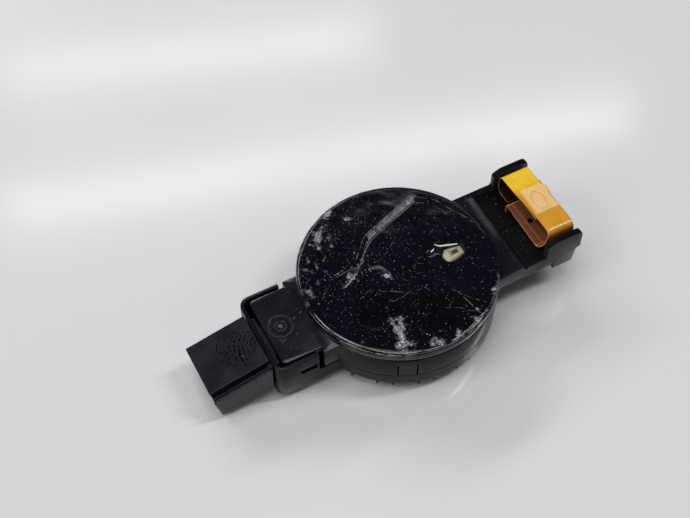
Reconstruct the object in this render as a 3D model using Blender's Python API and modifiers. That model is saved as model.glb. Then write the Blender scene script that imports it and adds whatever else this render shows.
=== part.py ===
"""Windscreen rain, light and humidity sensor.

A round drum holds the infrared rain optics under a clear coupling pad. A short arm with a
pitched three-way connector leaves it at -X. A deck with two ears leaves it at +X and carries
a sprung polyimide loop whose top presses on the glass. +Z points at the glass and z = 0 is
the plane that the sensor lies on.
"""

import math

import bmesh
import bpy
from mathutils import Matrix, Vector

# Lengths are in millimetres until Kit.finish scales each solid to metres
METRE = 1000.0
COLLECTION = "rain_light_humidity_sensor"

# Clearances
GAP = 0.3
SEAM = 0.2
# Faces that would otherwise coincide in a Boolean are set apart by this much
SLIP = 0.03
WELD = 0.002
SLIVER = 0.012
# Cutters run past the solids that they cut by this much, and span them wholly at SIDE_SPAN
PAST = 1.0
SIDE_SPAN = (-20.0, 20.0)
SOFT_EDGE = 0.12

# Drum and coupling pad
DRUM_R = 19.0
DRUM_WALL = 1.4
DRUM_INNER_R = DRUM_R - DRUM_WALL
TOP_Z = 10.5
TOP_THICK = 1.2
PART_Z = TOP_Z - 5.0
LOWER_TOP_Z = PART_Z - SEAM
DRUM_BASE_Z = TOP_Z - 8.0
RING_FLOOR_Z = DRUM_BASE_Z + 1.0
CUP_R = 13.5
CUP_INNER_R = 12.5
CUP_FLOOR_Z = 1.0
EDGE_R = 0.35
PAD_R = 19.1
PAD_THICK = 2.6
PAD_EDGE_R = 0.8

# Snap tongue that locks the two drum halves, front and back
TONGUE_AZIMUTH = math.radians(-113.3)
TONGUE_WIDTH = 3.3
TONGUE_TOP_Z = TOP_Z - 1.5
TONGUE_ROOT = 1.0

# Stiffening ribs under the drum's rim, in pairs
RIB_PAIRS = 15
RIB_FIRST_AZIMUTH = math.radians(-149.5)
RIB_HALF_SPREAD = math.radians(4.5)
RIB_LENGTH = 1.0
RIB_WIDTH = 0.5
RIB_DROP = 0.9

# Posts under the board
POST_R = 0.9
POST_PLACE_R = 15.2
POST_AZIMUTH = math.radians(47.0)

# Left arm: an open frame with the upper housing's plate let into it
FRAME_X = -29.3
FRAME_HALF_Y = 8.7
FRAME_WALL = 0.7
FRAME_CORNER_R = 2.0
FRAME_BASE_Z = TOP_Z - 8.9
FRAME_CUT_X = -21.0
PLATE_X = -27.5
PLATE_HALF_Y = 7.5
PLATE_THICK = 1.5
PLATE_CORNER_R = 0.9
PLATE_EDGE = 0.15
SHOULDER_X = -20.0
ARM_ROOT_X = -15.0
SNAP_X = (-24.7, -21.4)
SNAP_Z = (TOP_Z - 4.1, TOP_Z - 2.7)
SNAP_LEG_THICK = 0.8
SNAP_NOSE_ROOT = 0.2
SHOULDER_CORNER_R = 0.3
PLUG_WINDOW_Z = (TOP_Z - 6.6, TOP_Z - 0.6)
BOARD_WAY_X = -20.5
BOARD_WAY_HALF_Y = FRAME_HALF_Y - 1.13

# Connector shroud, pitched down from the frame
PITCH = math.radians(12.0)
SHROUD_LENGTH = 12.4
SHROUD_Y = (-7.0, 5.4)
SHROUD_HEIGHT = 6.5
SHROUD_TOP_Z = TOP_Z - 0.22
SHROUD_WALL = 0.7
CAVITY_Y = (-5.1, 4.5)
CAVITY_DEPTH = 10.6
KEYWAY_Y = (-6.7, -5.4)
KEYWAY_DEPTH = 1.1
LIP_DROP = 0.8
PLUG_INSET = 0.8
PLUG_DEPTH = 1.3
PLUG_DEPTHS = (LIP_DROP + 0.3, SHROUD_HEIGHT - 0.7)
CARRIER_MARGIN = 1.0
CARRIER_DEPTHS = (2.0, 4.5)
PIN_PITCH = 2.54
PIN_R = 0.32
PIN_REACH = 5.6
PIN_INNER = -2.6
PIN_CLEARANCE = 0.2
PIN_KNEE = 1.1

# Right arm: deck, recess, ears and the cover under it
DECK_X = 34.3
DECK_HALF_Y = 10.2
DECK_THICK = 1.8
DECK_SIDE = 3.1
DECK_WALL = 1.1
DECK_ROOT_X = 14.0
DECK_CORNER_R = 0.5
RECESS_X = 21.9
RECESS_Y = 0.4
RECESS_DEPTH = 0.9
GROOVE = 0.6
GROOVE_Y = -0.1
GROOVE_DEPTH = 0.5
FLEX_SEAT_X = 27.1
END_WALL = 0.8
CHANNEL_END_X = DECK_X - 0.7
EAR_X = 26.6
EAR_FOOT = 0.9
EAR_SLOPE = (1.7, 0.8)
EAR_OUTER_R = 1.2
EAR_INNER_R = 0.6
EAR_EDGE = 0.2
EAR_THICK = 1.3
EAR_RISE = 4.0
COVER_X = 28.3
COVER_DROP = 4.65
COVER_SLOPE = math.radians(-13.0)
COVER_SEAM_DROP = 2.0
COVER_BOTTOM_X = DECK_X - 1.4
LID_THICK = 0.5

# Sprung flex loop
FLEX_THICK = 0.2
FLEX_X = (27.8, 33.5)
FLEX_TOP_Z = TOP_Z + 4.2
FLEX_LOWER_Z = TOP_Z + GAP
FLEX_NEAR_Y = -6.4
FLEX_FAR_Y = 7.0
FLEX_END_Y = 8.5
FLEX_LOWER_X = (26.2, 33.0)
FLEX_HOLE_XY = (28.5, -1.4)
FLEX_HOLE_R = 0.45
RISER_Y = 3.6
FAR_TURN_R = 1.3
STIFFENER_Y = (-3.4, 4.4)
STIFFENER_THICK = 0.3
HUMIDITY_CHIP_X = (29.2, 32.2)
HUMIDITY_CHIP_Y = (-0.9, 2.1)
HUMIDITY_CHIP_DROP = (0.35, 1.1)
TAIL_DROP = 0.35
TAIL_WIDTH = 4.0
TAIL_END_X = 32.9

# Circuit board
BOARD_TOP_Z = TOP_Z - 4.5
BOARD_THICK = 1.0
BOARD_R = 16.8
BOARD_TAIL_X = (-24.6, -12.0)
BOARD_TAIL_Y = (-5.4, 5.4)
# Parts stand off the board by this much
SOLDER = 0.1
PROCESSOR = ((-6.5, 0.5), (-3.5, 3.5), 1.2)
TRANSCEIVER = ((3.5, 7.5), (1.0, 6.0), 1.4)
CAPACITOR_X = -4.5
CAPACITOR_YS = (-6.6, 7.6)
CAPACITOR_R = 2.0
CAPACITOR_HEIGHT = 2.6
INDUCTOR_XY = (5.5, -4.5)
INDUCTOR_R = 1.9
INDUCTOR_HEIGHT = 1.8
SOCKET_X = (11.4, 14.0)
SOCKET_HEIGHT = 1.5
PLUG_LIFT = 0.8

# Optics
WINDOW_XY = (11.2, 0.0)
WINDOW_R = 2.9
WINDOW_SINK = 0.05
WINDOW_EDGE = 0.2
WINDOW_BASE_Z = TOP_Z - 0.6
LIGHT_CHIP_X = (WINDOW_XY[0] - 0.4, WINDOW_XY[0] + 2.2)
LIGHT_CHIP_Y = (-1.4, 0.4)
LIGHT_CHIP_Z = (TOP_Z - 1.5, TOP_Z - 0.9)
LENS_PLATE_R = 15.5
LENS_TOP_Z = TOP_Z - TOP_THICK - GAP
LENS_PLATE_THICK = 0.8
LENS_R = (1.4, 2.4)
LENS_SPAN_Z = (LENS_TOP_Z - LENS_PLATE_THICK - 0.6, LENS_TOP_Z - 0.3)
LENS_XYS = ((-8.0, 5.5), (-8.0, -5.5), (5.0, 8.5), (5.0, -8.5))
DIODE_HALF = (1.5, 1.1)
DIODE_HEIGHT = 0.6
DOME_R = (0.9, 0.5)
DOME_SPAN = (0.4, 0.9)
BARRIER_X = (-1.9, -1.2)
BARRIER_Y = (-12.5, 12.5)
BARRIER_HEIGHT = 0.9

ROUND_STEPS = 96
SMALL_STEPS = 24
SHARP_ANGLE = math.radians(35.0)
BEVEL_ANGLE = math.radians(50.0)
FLAT_ANGLE = math.radians(0.5)

BLACK_GLOSS = ("housing_black_gloss", (0.012, 0.011, 0.016), 0.22, 0.0)
BLACK_SATIN = ("housing_black_satin", (0.020, 0.019, 0.024), 0.42, 0.0)
BLACK_MATTE = ("black_matte", (0.026, 0.025, 0.028), 0.62, 0.0)
CLEAR_GEL = ("clear_gel", (0.05, 0.05, 0.07), 0.10, 0.0)
CLEAR_PLASTIC = ("clear_plastic", (0.35, 0.38, 0.42), 0.08, 0.0)
POLYIMIDE = ("polyimide", (0.72, 0.36, 0.04), 0.30, 0.0)
COPPER_FLEX = ("flex_underside", (0.38, 0.15, 0.07), 0.40, 0.0)
STIFFENER = ("stiffener", (0.80, 0.55, 0.22), 0.35, 0.0)
BOARD_GREEN = ("board_green", (0.02, 0.16, 0.07), 0.40, 0.0)
CHIP_BLACK = ("chip_black", (0.03, 0.03, 0.03), 0.50, 0.0)
CHIP_CREAM = ("chip_cream", (0.72, 0.66, 0.42), 0.35, 0.0)
DIODE_DARK = ("diode_dark", (0.05, 0.04, 0.07), 0.12, 0.0)
TIN = ("tin_plate", (0.72, 0.71, 0.68), 0.28, 1.0)
CONNECTOR_WHITE = ("connector_ivory", (0.75, 0.72, 0.62), 0.45, 0.0)
CAN_METAL = ("can_aluminium", (0.70, 0.71, 0.72), 0.30, 1.0)


# ---------------------------------------------------------------- scene helpers

def clear_scene():
    for obj in list(bpy.data.objects):
        bpy.data.objects.remove(obj, do_unlink=True)


def new_collection(name):
    group = bpy.data.collections.new(name)
    bpy.context.scene.collection.children.link(group)
    return group


def material(spec):
    name, colour, roughness, metallic = spec
    found = bpy.data.materials.get(name)
    if found:
        return found
    made = bpy.data.materials.new(name)
    made.use_nodes = True
    shader = made.node_tree.nodes["Principled BSDF"]
    shader.inputs["Base Color"].default_value = (*colour, 1.0)
    shader.inputs["Roughness"].default_value = roughness
    shader.inputs["Metallic"].default_value = metallic
    made.diffuse_color = (*colour, 1.0)
    return made


class Kit:
    """The two collections, and the making of plain solids in them."""

    def __init__(self):
        self.parts = new_collection(COLLECTION)
        self.cutters = new_collection("cutters")

    def mesh_object(self, name, bm, location=(0.0, 0.0, 0.0)):
        mesh = bpy.data.meshes.new(name)
        bm.to_mesh(mesh)
        bm.free()
        obj = bpy.data.objects.new(name, mesh)
        obj.location = location
        self.cutters.objects.link(obj)
        return obj

    def box(self, name, xs, ys, zs):
        size = Vector((xs[1] - xs[0], ys[1] - ys[0], zs[1] - zs[0]))
        centre = Vector((xs[0] + xs[1], ys[0] + ys[1], zs[0] + zs[1])) / 2
        bm = bmesh.new()
        bmesh.ops.create_cube(bm, size=1.0, matrix=Matrix.Diagonal((*size, 1.0)))
        return self.mesh_object(name, bm, centre)

    def cylinder(self, name, radius, zs, xy=(0.0, 0.0), steps=SMALL_STEPS, top_radius=None):
        bm = bmesh.new()
        upper = radius if top_radius is None else top_radius
        bmesh.ops.create_cone(bm, cap_ends=True, segments=steps, radius1=radius,
                              radius2=upper, depth=zs[1] - zs[0])
        return self.mesh_object(name, bm, (xy[0], xy[1], (zs[0] + zs[1]) / 2))

    def turned(self, name, profile, steps=ROUND_STEPS):
        """Screw a profile of (radius, height) points about Z, outer side running down."""
        bm = bmesh.new()
        verts = [bm.verts.new((r, 0.0, z)) for r, z in profile]
        closed = profile[0][0] > 0.0
        for first, second in zip(verts, verts[1:] + ([verts[0]] if closed else [])):
            bm.edges.new((first, second))
        obj = self.mesh_object(name, bm)
        screw = obj.modifiers.new("turn", 'SCREW')
        screw.steps = steps
        screw.render_steps = steps
        screw.use_merge_vertices = True
        screw.merge_threshold = 0.0001
        screw.use_normal_calculate = not closed
        return self.baked(obj)

    def plate(self, name, outline, zs, edge=0.0, turn=None):
        """Extrude a flat outline between two heights, with a rounded edge."""
        curve = bpy.data.curves.new(name, 'CURVE')
        curve.dimensions = '2D'
        curve.fill_mode = 'BOTH'
        curve.extrude = (zs[1] - zs[0]) / 2
        spline = curve.splines.new('POLY')
        spline.points.add(len(outline) - 1)
        for point, (x, y) in zip(spline.points, outline):
            point.co = (x, y, 0.0, 1.0)
        spline.use_cyclic_u = True
        obj = bpy.data.objects.new(name, curve)
        obj.location.z = (zs[0] + zs[1]) / 2
        self.cutters.objects.link(obj)
        if turn is not None:
            obj.matrix_world = turn @ Matrix.Translation(obj.location)
        obj = self.baked(obj)
        return self.softened(obj, edge) if edge > 0.0 else obj

    def softened(self, obj, edge):
        """Round the edges of a plain solid, its flat faces first made whole."""
        bm = bmesh.new()
        bm.from_mesh(obj.data)
        bmesh.ops.dissolve_limit(bm, angle_limit=FLAT_ANGLE, verts=bm.verts, edges=bm.edges)
        bm.to_mesh(obj.data)
        bm.free()
        bevel = obj.modifiers.new("edge", 'BEVEL')
        bevel.width = edge
        bevel.segments = 2
        bevel.limit_method = 'ANGLE'
        bevel.angle_limit = BEVEL_ANGLE
        return self.baked(obj, weld=SLIVER)

    def wire(self, name, points, radius):
        curve = bpy.data.curves.new(name, 'CURVE')
        curve.dimensions = '3D'
        curve.bevel_depth = radius
        curve.bevel_resolution = 2
        curve.use_fill_caps = True
        spline = curve.splines.new('POLY')
        spline.points.add(len(points) - 1)
        for point, place in zip(spline.points, points):
            point.co = (*place, 1.0)
        obj = bpy.data.objects.new(name, curve)
        self.cutters.objects.link(obj)
        return self.baked(obj)

    def baked(self, obj, weld=WELD):
        """Replace an object by its evaluated mesh, with points nearer than the weld joined."""
        bpy.context.view_layer.update()
        graph = bpy.context.evaluated_depsgraph_get()
        mesh = bpy.data.meshes.new_from_object(obj.evaluated_get(graph))
        bm = bmesh.new()
        bm.from_mesh(mesh)
        if weld > 0.0:
            bmesh.ops.remove_doubles(bm, verts=bm.verts, dist=weld)
            bmesh.ops.recalc_face_normals(bm, faces=bm.faces)
        bm.to_mesh(mesh)
        bm.free()
        name = obj.name
        place = obj.matrix_world.copy()
        bpy.data.objects.remove(obj, do_unlink=True)
        made = bpy.data.objects.new(name, mesh)
        made.matrix_world = place
        self.cutters.objects.link(made)
        return made

    def combine(self, target, tool, operation):
        step = target.modifiers.new(operation.lower(), 'BOOLEAN')
        step.operation = operation
        step.solver = 'EXACT'
        step.object = tool
        made = self.baked(target, weld=0.0)
        bpy.data.objects.remove(tool, do_unlink=True)
        return made

    def add(self, target, *tools):
        for tool in tools:
            target = self.combine(target, tool, 'UNION')
        return target

    def cut(self, target, *tools):
        for tool in tools:
            target = self.combine(target, tool, 'DIFFERENCE')
        return target

    def group(self, name, solids):
        """Join separate solids into one object."""
        bpy.context.view_layer.update()
        bm = bmesh.new()
        for solid in solids:
            copy = solid.data.copy()
            copy.transform(solid.matrix_world)
            bm.from_mesh(copy)
            bpy.data.meshes.remove(copy)
            bpy.data.objects.remove(solid, do_unlink=True)
        return self.mesh_object(name, bm)

    def cleaned(self, obj):
        """Weld the near-coincident points that Booleans leave, and drop the slivers."""
        bm = bmesh.new()
        bm.from_mesh(obj.data)
        bmesh.ops.remove_doubles(bm, verts=bm.verts, dist=SLIVER)
        bmesh.ops.triangulate(bm, faces=bm.faces)
        bmesh.ops.dissolve_degenerate(bm, edges=bm.edges, dist=SLIVER)
        bmesh.ops.triangulate(bm, faces=bm.faces)
        bm.to_mesh(obj.data)
        bm.free()

    def finish(self, obj, name, spec, parent=None):
        """Scale a solid to metres and move it into the model as a named node."""
        self.cleaned(obj)
        self.cutters.objects.unlink(obj)
        self.parts.objects.link(obj)
        obj.name = name
        obj.data.name = name
        bpy.context.view_layer.update()
        obj.data.transform(Matrix.Scale(1.0 / METRE, 4) @ obj.matrix_world)
        obj.matrix_world = Matrix.Identity(4)
        if parent is None:
            corners = [Vector(corner) for corner in obj.bound_box]
            origin = sum(corners, Vector()) / len(corners)
            obj.location = origin
        else:
            origin = parent.location.copy()
            obj.parent = parent
        obj.data.transform(Matrix.Translation(-origin))
        obj.data.materials.clear()
        obj.data.materials.append(material(spec))
        obj.data.shade_smooth()
        obj.data.set_sharp_from_angle(angle=SHARP_ANGLE)
        return obj


# ---------------------------------------------------------------- outline helpers

def arc(centre, radius, start, end, steps):
    """Points along an arc, angles in degrees."""
    points = []
    for k in range(steps + 1):
        angle = math.radians(start + (end - start) * k / steps)
        points.append((centre[0] + radius * math.cos(angle),
                       centre[1] + radius * math.sin(angle)))
    return points


def rounded(corners, steps=5):
    """Round each (x, y, radius) corner of a closed outline."""
    points = []
    count = len(corners)
    for k, (x, y, radius) in enumerate(corners):
        here = Vector((x, y))
        if radius <= 0.0:
            points.append((x, y))
            continue
        before = (Vector(corners[k - 1][:2]) - here).normalized()
        after = (Vector(corners[(k + 1) % count][:2]) - here).normalized()
        half = before.angle(after) / 2
        reach = radius / math.tan(half)
        centre = here + (before + after).normalized() * radius / math.sin(half)
        start = here + before * reach - centre
        end = here + after * reach - centre
        turn = start.angle_signed(end)
        for j in range(steps + 1):
            spot = start.copy()
            spot.rotate(Matrix.Rotation(-turn * j / steps, 2))
            points.append(tuple(centre + spot))
    return points


def polar(radius, azimuth):
    return radius * math.cos(azimuth), radius * math.sin(azimuth)


# ---------------------------------------------------------------- drum

def at_azimuth(solid, radius, azimuth):
    """Carry a solid made at the origin out to a radius, turned to face outward."""
    x, y = polar(radius, azimuth)
    solid.matrix_world = (Matrix.Translation((x, y, 0.0)) @ Matrix.Rotation(azimuth, 4, 'Z')
                          @ solid.matrix_basis)
    return solid


def wall_block(kit, azimuth, width, zs):
    """A block through the drum's wall, centred on an azimuth."""
    reach = DRUM_WALL * 2
    block = kit.box("wall_block", (-reach, reach), (-width / 2, width / 2), zs)
    return at_azimuth(block, DRUM_R, azimuth)


def snap_tongue(kit, azimuth):
    """A piece of the drum's wall that stands up from the lower housing."""
    low = LOWER_TOP_Z - TONGUE_ROOT
    ring = kit.turned("tongue", [
        (DRUM_R - SLIP, TONGUE_TOP_Z),
        (DRUM_R - SLIP, low),
        (DRUM_INNER_R + SLIP, low),
        (DRUM_INNER_R + SLIP, TONGUE_TOP_Z),
    ])
    ring.matrix_world = Matrix.Rotation(math.pi / ROUND_STEPS, 4, 'Z')
    block = wall_block(kit, azimuth, TONGUE_WIDTH, (low - PAST, TONGUE_TOP_Z + PAST))
    return kit.combine(ring, block, 'INTERSECT')


def tongue_azimuths():
    return TONGUE_AZIMUTH, TONGUE_AZIMUTH + math.pi


def rib_azimuths():
    for pair in range(RIB_PAIRS):
        centre = RIB_FIRST_AZIMUTH + pair * 2 * math.pi / RIB_PAIRS
        yield centre - RIB_HALF_SPREAD
        yield centre + RIB_HALF_SPREAD


def under_left_arm(azimuth):
    x, y = polar(DRUM_R, azimuth)
    return x < 0.0 and abs(y) < FRAME_HALF_Y + 1.0


def rim_ribs(kit):
    solids = []
    for azimuth in rib_azimuths():
        if under_left_arm(azimuth):
            continue
        rib = kit.box("rib", (-RIB_LENGTH, 0.0), (-RIB_WIDTH / 2, RIB_WIDTH / 2),
                      (DRUM_BASE_Z - RIB_DROP, DRUM_BASE_Z + EDGE_R))
        solids.append(at_azimuth(rib, DRUM_R - EDGE_R / 2, azimuth))
    return kit.group("ribs", solids)


def frame_outline(x_low, x_high, half_y, corner):
    return rounded([
        (x_high, -half_y, 0.0),
        (x_high, half_y, 0.0),
        (x_low, half_y, corner),
        (x_low, -half_y, corner),
    ])


def board_posts(kit):
    """Four posts on the drum's floor that hold the board."""
    zs = (RING_FLOOR_Z - 0.5, BOARD_TOP_Z - BOARD_THICK - GAP)
    posts = []
    for quarter in range(4):
        azimuth = POST_AZIMUTH + quarter * math.pi / 2
        posts.append(kit.cylinder("post", POST_R, zs, polar(POST_PLACE_R, azimuth)))
    return kit.group("posts", posts)


def lower_housing(kit):
    body = kit.turned("lower", [
        (0.0, CUP_FLOOR_Z),
        (CUP_INNER_R, CUP_FLOOR_Z),
        (CUP_INNER_R, RING_FLOOR_Z),
        (DRUM_INNER_R, RING_FLOOR_Z),
        (DRUM_INNER_R, LOWER_TOP_Z),
        (DRUM_R, LOWER_TOP_Z),
        (DRUM_R, DRUM_BASE_Z + EDGE_R),
        (DRUM_R - EDGE_R, DRUM_BASE_Z),
        (CUP_R, DRUM_BASE_Z),
        (CUP_R, EDGE_R),
        (CUP_R - EDGE_R, 0.0),
        (0.0, 0.0),
    ])
    frame = kit.plate("frame", frame_outline(FRAME_X, ARM_ROOT_X, FRAME_HALF_Y, FRAME_CORNER_R),
                      (FRAME_BASE_Z, TOP_Z), edge=SOFT_EDGE)
    low_wall = kit.box("low_wall", (FRAME_CUT_X, ARM_ROOT_X + PAST), SIDE_SPAN,
                       (LOWER_TOP_Z - SLIP, TOP_Z + PAST))
    body = kit.add(body, kit.cut(frame, low_wall))
    inside = FRAME_HALF_Y - FRAME_WALL
    arm_room = kit.plate("arm_room", frame_outline(FRAME_X + FRAME_WALL, ARM_ROOT_X - PAST, inside,
                                                   FRAME_CORNER_R - FRAME_WALL),
                         (FRAME_BASE_Z + CUP_FLOOR_Z, TOP_Z + PAST))
    drum_room = kit.cylinder("drum_room", DRUM_INNER_R - SLIP, (RING_FLOOR_Z + SLIP, TOP_Z),
                             steps=ROUND_STEPS)
    snap_windows = kit.box("snap_windows", SNAP_X, SIDE_SPAN, SNAP_Z)
    plug_window = kit.box("plug_window", (FRAME_X - PAST, FRAME_X + FRAME_WALL + PAST),
                          plug_span_y(GAP), PLUG_WINDOW_Z)
    body = kit.cut(body, arm_room, drum_room, snap_windows, plug_window)
    for azimuth in tongue_azimuths():
        body = kit.add(body, snap_tongue(kit, azimuth))
    body = kit.add(body, board_posts(kit), rim_ribs(kit))
    return kit.finish(body, "lower_housing", BLACK_SATIN)


def snap_leg(kit, side):
    """The leg under the plate, with its nose in the frame's window."""
    xs = (SNAP_X[0] + GAP, SNAP_X[1] - GAP)
    outer = PLATE_HALF_Y - SEAM
    ys = sorted((side * (outer - SNAP_LEG_THICK), side * outer))
    leg = kit.box("leg", xs, ys, (SNAP_Z[0] + GAP, TOP_Z - PLATE_THICK / 2))
    nose_ys = sorted((side * (outer - SNAP_NOSE_ROOT), side * (FRAME_HALF_Y - GAP)))
    nose_xs = (xs[0] + SLIP, xs[1] - SLIP)
    nose = kit.box("nose", nose_xs, nose_ys, (SNAP_Z[0] + GAP + SLIP, SNAP_Z[1] - GAP))
    return kit.add(leg, nose)


def left_plate(kit):
    top = TOP_Z - SLIP
    root = ARM_ROOT_X - PAST
    plate = kit.plate("left_plate", frame_outline(PLATE_X, root, PLATE_HALF_Y, PLATE_CORNER_R),
                      (top - PLATE_THICK, top), edge=PLATE_EDGE)
    shoulder = kit.plate("shoulder", frame_outline(SHOULDER_X, ARM_ROOT_X, FRAME_HALF_Y,
                                                   SHOULDER_CORNER_R),
                         (PART_Z + SLIP, TOP_Z), edge=PLATE_EDGE)
    return kit.add(plate, shoulder, snap_leg(kit, -1), snap_leg(kit, 1))


def upright(offset_y):
    """Stand a flat outline up: its x stays, its y becomes height, its thickness runs in Y."""
    return Matrix.Translation((0.0, offset_y, 0.0)) @ Matrix.Rotation(math.pi / 2, 4, 'X')


def ear_outline():
    low = TOP_Z - DECK_SIDE + 5 * SLIP
    top = TOP_Z + EAR_RISE
    run, fall = EAR_SLOPE
    side = [
        (EAR_X - EAR_FOOT, low, 0.0),
        (DECK_X + SLIP, low, 0.0),
        (DECK_X + SLIP, top, EAR_OUTER_R),
        (EAR_X + run, top, EAR_INNER_R),
        (EAR_X, top - fall, EAR_INNER_R),
        (EAR_X, TOP_Z - EAR_FOOT / 3, EAR_FOOT),
        (EAR_X - EAR_FOOT * 1.2, TOP_Z - EAR_FOOT / 3, 0.0),
    ]
    return rounded(side, steps=3)


def right_deck(kit):
    outline = rounded([
        (DECK_ROOT_X, -DECK_HALF_Y, 0.0),
        (DECK_X, -DECK_HALF_Y, DECK_CORNER_R),
        (DECK_X, DECK_HALF_Y, DECK_CORNER_R),
        (DECK_ROOT_X, DECK_HALF_Y, 0.0),
    ], steps=3)
    deck = kit.plate("deck", outline, (TOP_Z - DECK_SIDE, TOP_Z), edge=SOFT_EDGE)
    ears = []
    for side in (-1, 1):
        middle = side * (DECK_HALF_Y + SLIP - EAR_THICK / 2)
        ears.append(kit.plate("ear", ear_outline(), (-EAR_THICK / 2, EAR_THICK / 2),
                              edge=EAR_EDGE, turn=upright(middle)))
    return kit.add(deck, *ears)


def deck_reliefs(kit):
    """Cutters for the deck's recess, grooves, flex slot, cable channel and sloped seam."""
    inner = DECK_HALF_Y - EAR_THICK
    floor = TOP_Z - RECESS_DEPTH
    above = TOP_Z + PAST
    groove_z = TOP_Z - GROOVE_DEPTH
    slot_x = (FLEX_LOWER_X[0] - GAP, FLEX_LOWER_X[1] + GAP)
    return [
        kit.box("recess", (RECESS_X, FLEX_SEAT_X), (RECESS_Y, inner), (floor, above)),
        kit.box("far_well", (RECESS_X + PAST, DECK_X - END_WALL), (RISER_Y + 2 * GAP, inner - SLIP),
                (floor - 2 * SLIP, above)),
        kit.box("groove_x", (RECESS_X, RECESS_X + GROOVE), (SIDE_SPAN[0], GROOVE_Y),
                (groove_z, above)),
        kit.box("groove_y", (RECESS_X + GROOVE / 2, FLEX_SEAT_X), (GROOVE_Y - GROOVE, GROOVE_Y - SLIP),
                (groove_z - SLIP, above)),
        kit.box("flex_slot", slot_x, (RISER_Y - GAP, RISER_Y + FLEX_THICK + GAP),
                (TOP_Z - 4 * PAST, above)),
        kit.box("channel", (DRUM_INNER_R - PAST, CHANNEL_END_X), deck_inside_y(),
                (TOP_Z - DECK_SIDE - PAST, TOP_Z - DECK_THICK)),
    ]


def deck_inside_y(clearance=0.0):
    reach = DECK_HALF_Y - DECK_WALL - clearance
    return -reach, reach


def cover_limit(kit):
    return kit.box("limit", (COVER_X, DECK_X + PAST), SIDE_SPAN, (0.0, TOP_Z))


def cover_split(kit, drop):
    """A block whose sloped top is the seam between the deck's end and its cover."""
    reach = DECK_X - COVER_X
    block = kit.box("split", (-PAST, reach + 2 * PAST), SIDE_SPAN, (-reach, 0.0))
    place = Matrix.Translation((COVER_X, 0.0, TOP_Z - COVER_SEAM_DROP - drop))
    block.matrix_world = place @ Matrix.Rotation(COVER_SLOPE, 4, 'Y') @ block.matrix_basis
    return block


def upper_housing(kit):
    body = kit.turned("upper", [
        (0.0, TOP_Z + SLIP),
        (DRUM_R - EDGE_R, TOP_Z + SLIP),
        (DRUM_R - EDGE_R * 0.3, TOP_Z - EDGE_R * 0.3),
        (DRUM_R, TOP_Z - EDGE_R),
        (DRUM_R, PART_Z),
        (DRUM_R - DRUM_WALL, PART_Z),
        (DRUM_R - DRUM_WALL, TOP_Z - TOP_THICK),
        (0.0, TOP_Z - TOP_THICK),
    ])
    body = kit.add(body, left_plate(kit), right_deck(kit))
    body = kit.cut(body, *deck_reliefs(kit))
    split = kit.combine(cover_limit(kit), cover_split(kit, 0.0), 'INTERSECT')
    kept = kit.box("kept_deck", (COVER_X - PAST, DECK_X + 2 * PAST), deck_inside_y(SEAM),
                   (-PAST, TOP_Z + PAST))
    body = kit.cut(body, kit.cut(split, kept))
    inside = kit.cylinder("inside", DRUM_INNER_R - SLIP, (PART_Z - PAST, TOP_Z - TOP_THICK - SLIP),
                          steps=ROUND_STEPS)
    board_way = kit.box("board_way", (BOARD_WAY_X, ARM_ROOT_X + PAST),
                        (-BOARD_WAY_HALF_Y, BOARD_WAY_HALF_Y),
                        (PART_Z - PAST, TOP_Z - PLATE_THICK - SLIP))
    window = kit.cylinder("window", WINDOW_R + GAP, (TOP_Z - 2 * PAST, TOP_Z + PAST), WINDOW_XY)
    body = kit.cut(body, inside, board_way, window)
    for azimuth in tongue_azimuths():
        zs = (PART_Z - PAST, TONGUE_TOP_Z + SEAM)
        body = kit.cut(body, wall_block(kit, azimuth, TONGUE_WIDTH + 2 * GAP, zs))
    return kit.finish(body, "upper_housing", BLACK_GLOSS)


def coupling_pad(kit):
    low = TOP_Z + GAP
    top = TOP_Z + PAD_THICK
    profile = [(0.0, top)]
    profile += arc((PAD_R - PAD_EDGE_R, top - PAD_EDGE_R), PAD_EDGE_R, 90, 0, 4)
    profile += [(PAD_R, low + 0.5), (PAD_R - 0.2, low), (0.0, low)]
    return kit.finish(kit.turned("pad", profile), "coupling_pad", CLEAR_GEL)


# ---------------------------------------------------------------- optics

def light_sensor(kit):
    top = TOP_Z - WINDOW_SINK
    window = kit.turned("window", [
        (0.0, top),
        (WINDOW_R - WINDOW_EDGE, top),
        (WINDOW_R, top - WINDOW_EDGE),
        (WINDOW_R, WINDOW_BASE_Z),
        (0.0, WINDOW_BASE_Z),
    ], steps=32)
    window.location = (*WINDOW_XY, 0.0)
    kit.finish(window, "ambient_window", CLEAR_PLASTIC)
    chip = kit.box("chip", LIGHT_CHIP_X, LIGHT_CHIP_Y, LIGHT_CHIP_Z)
    kit.finish(chip, "light_sensor_chip", CHIP_CREAM)


def lens_plate(kit):
    plate = kit.cylinder("plate", LENS_PLATE_R, (LENS_TOP_Z - LENS_PLATE_THICK, LENS_TOP_Z), steps=64)
    lenses = []
    for xy in LENS_XYS:
        lenses.append(kit.cylinder("lens", LENS_R[0], LENS_SPAN_Z, xy, top_radius=LENS_R[1]))
    well = kit.cylinder("well", WINDOW_R + GAP, (TOP_Z - 4 * PAST, TOP_Z), WINDOW_XY)
    plate = kit.add(plate, kit.group("lenses", lenses))
    return kit.finish(kit.cut(plate, well), "lens_plate", CLEAR_PLASTIC)


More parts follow.
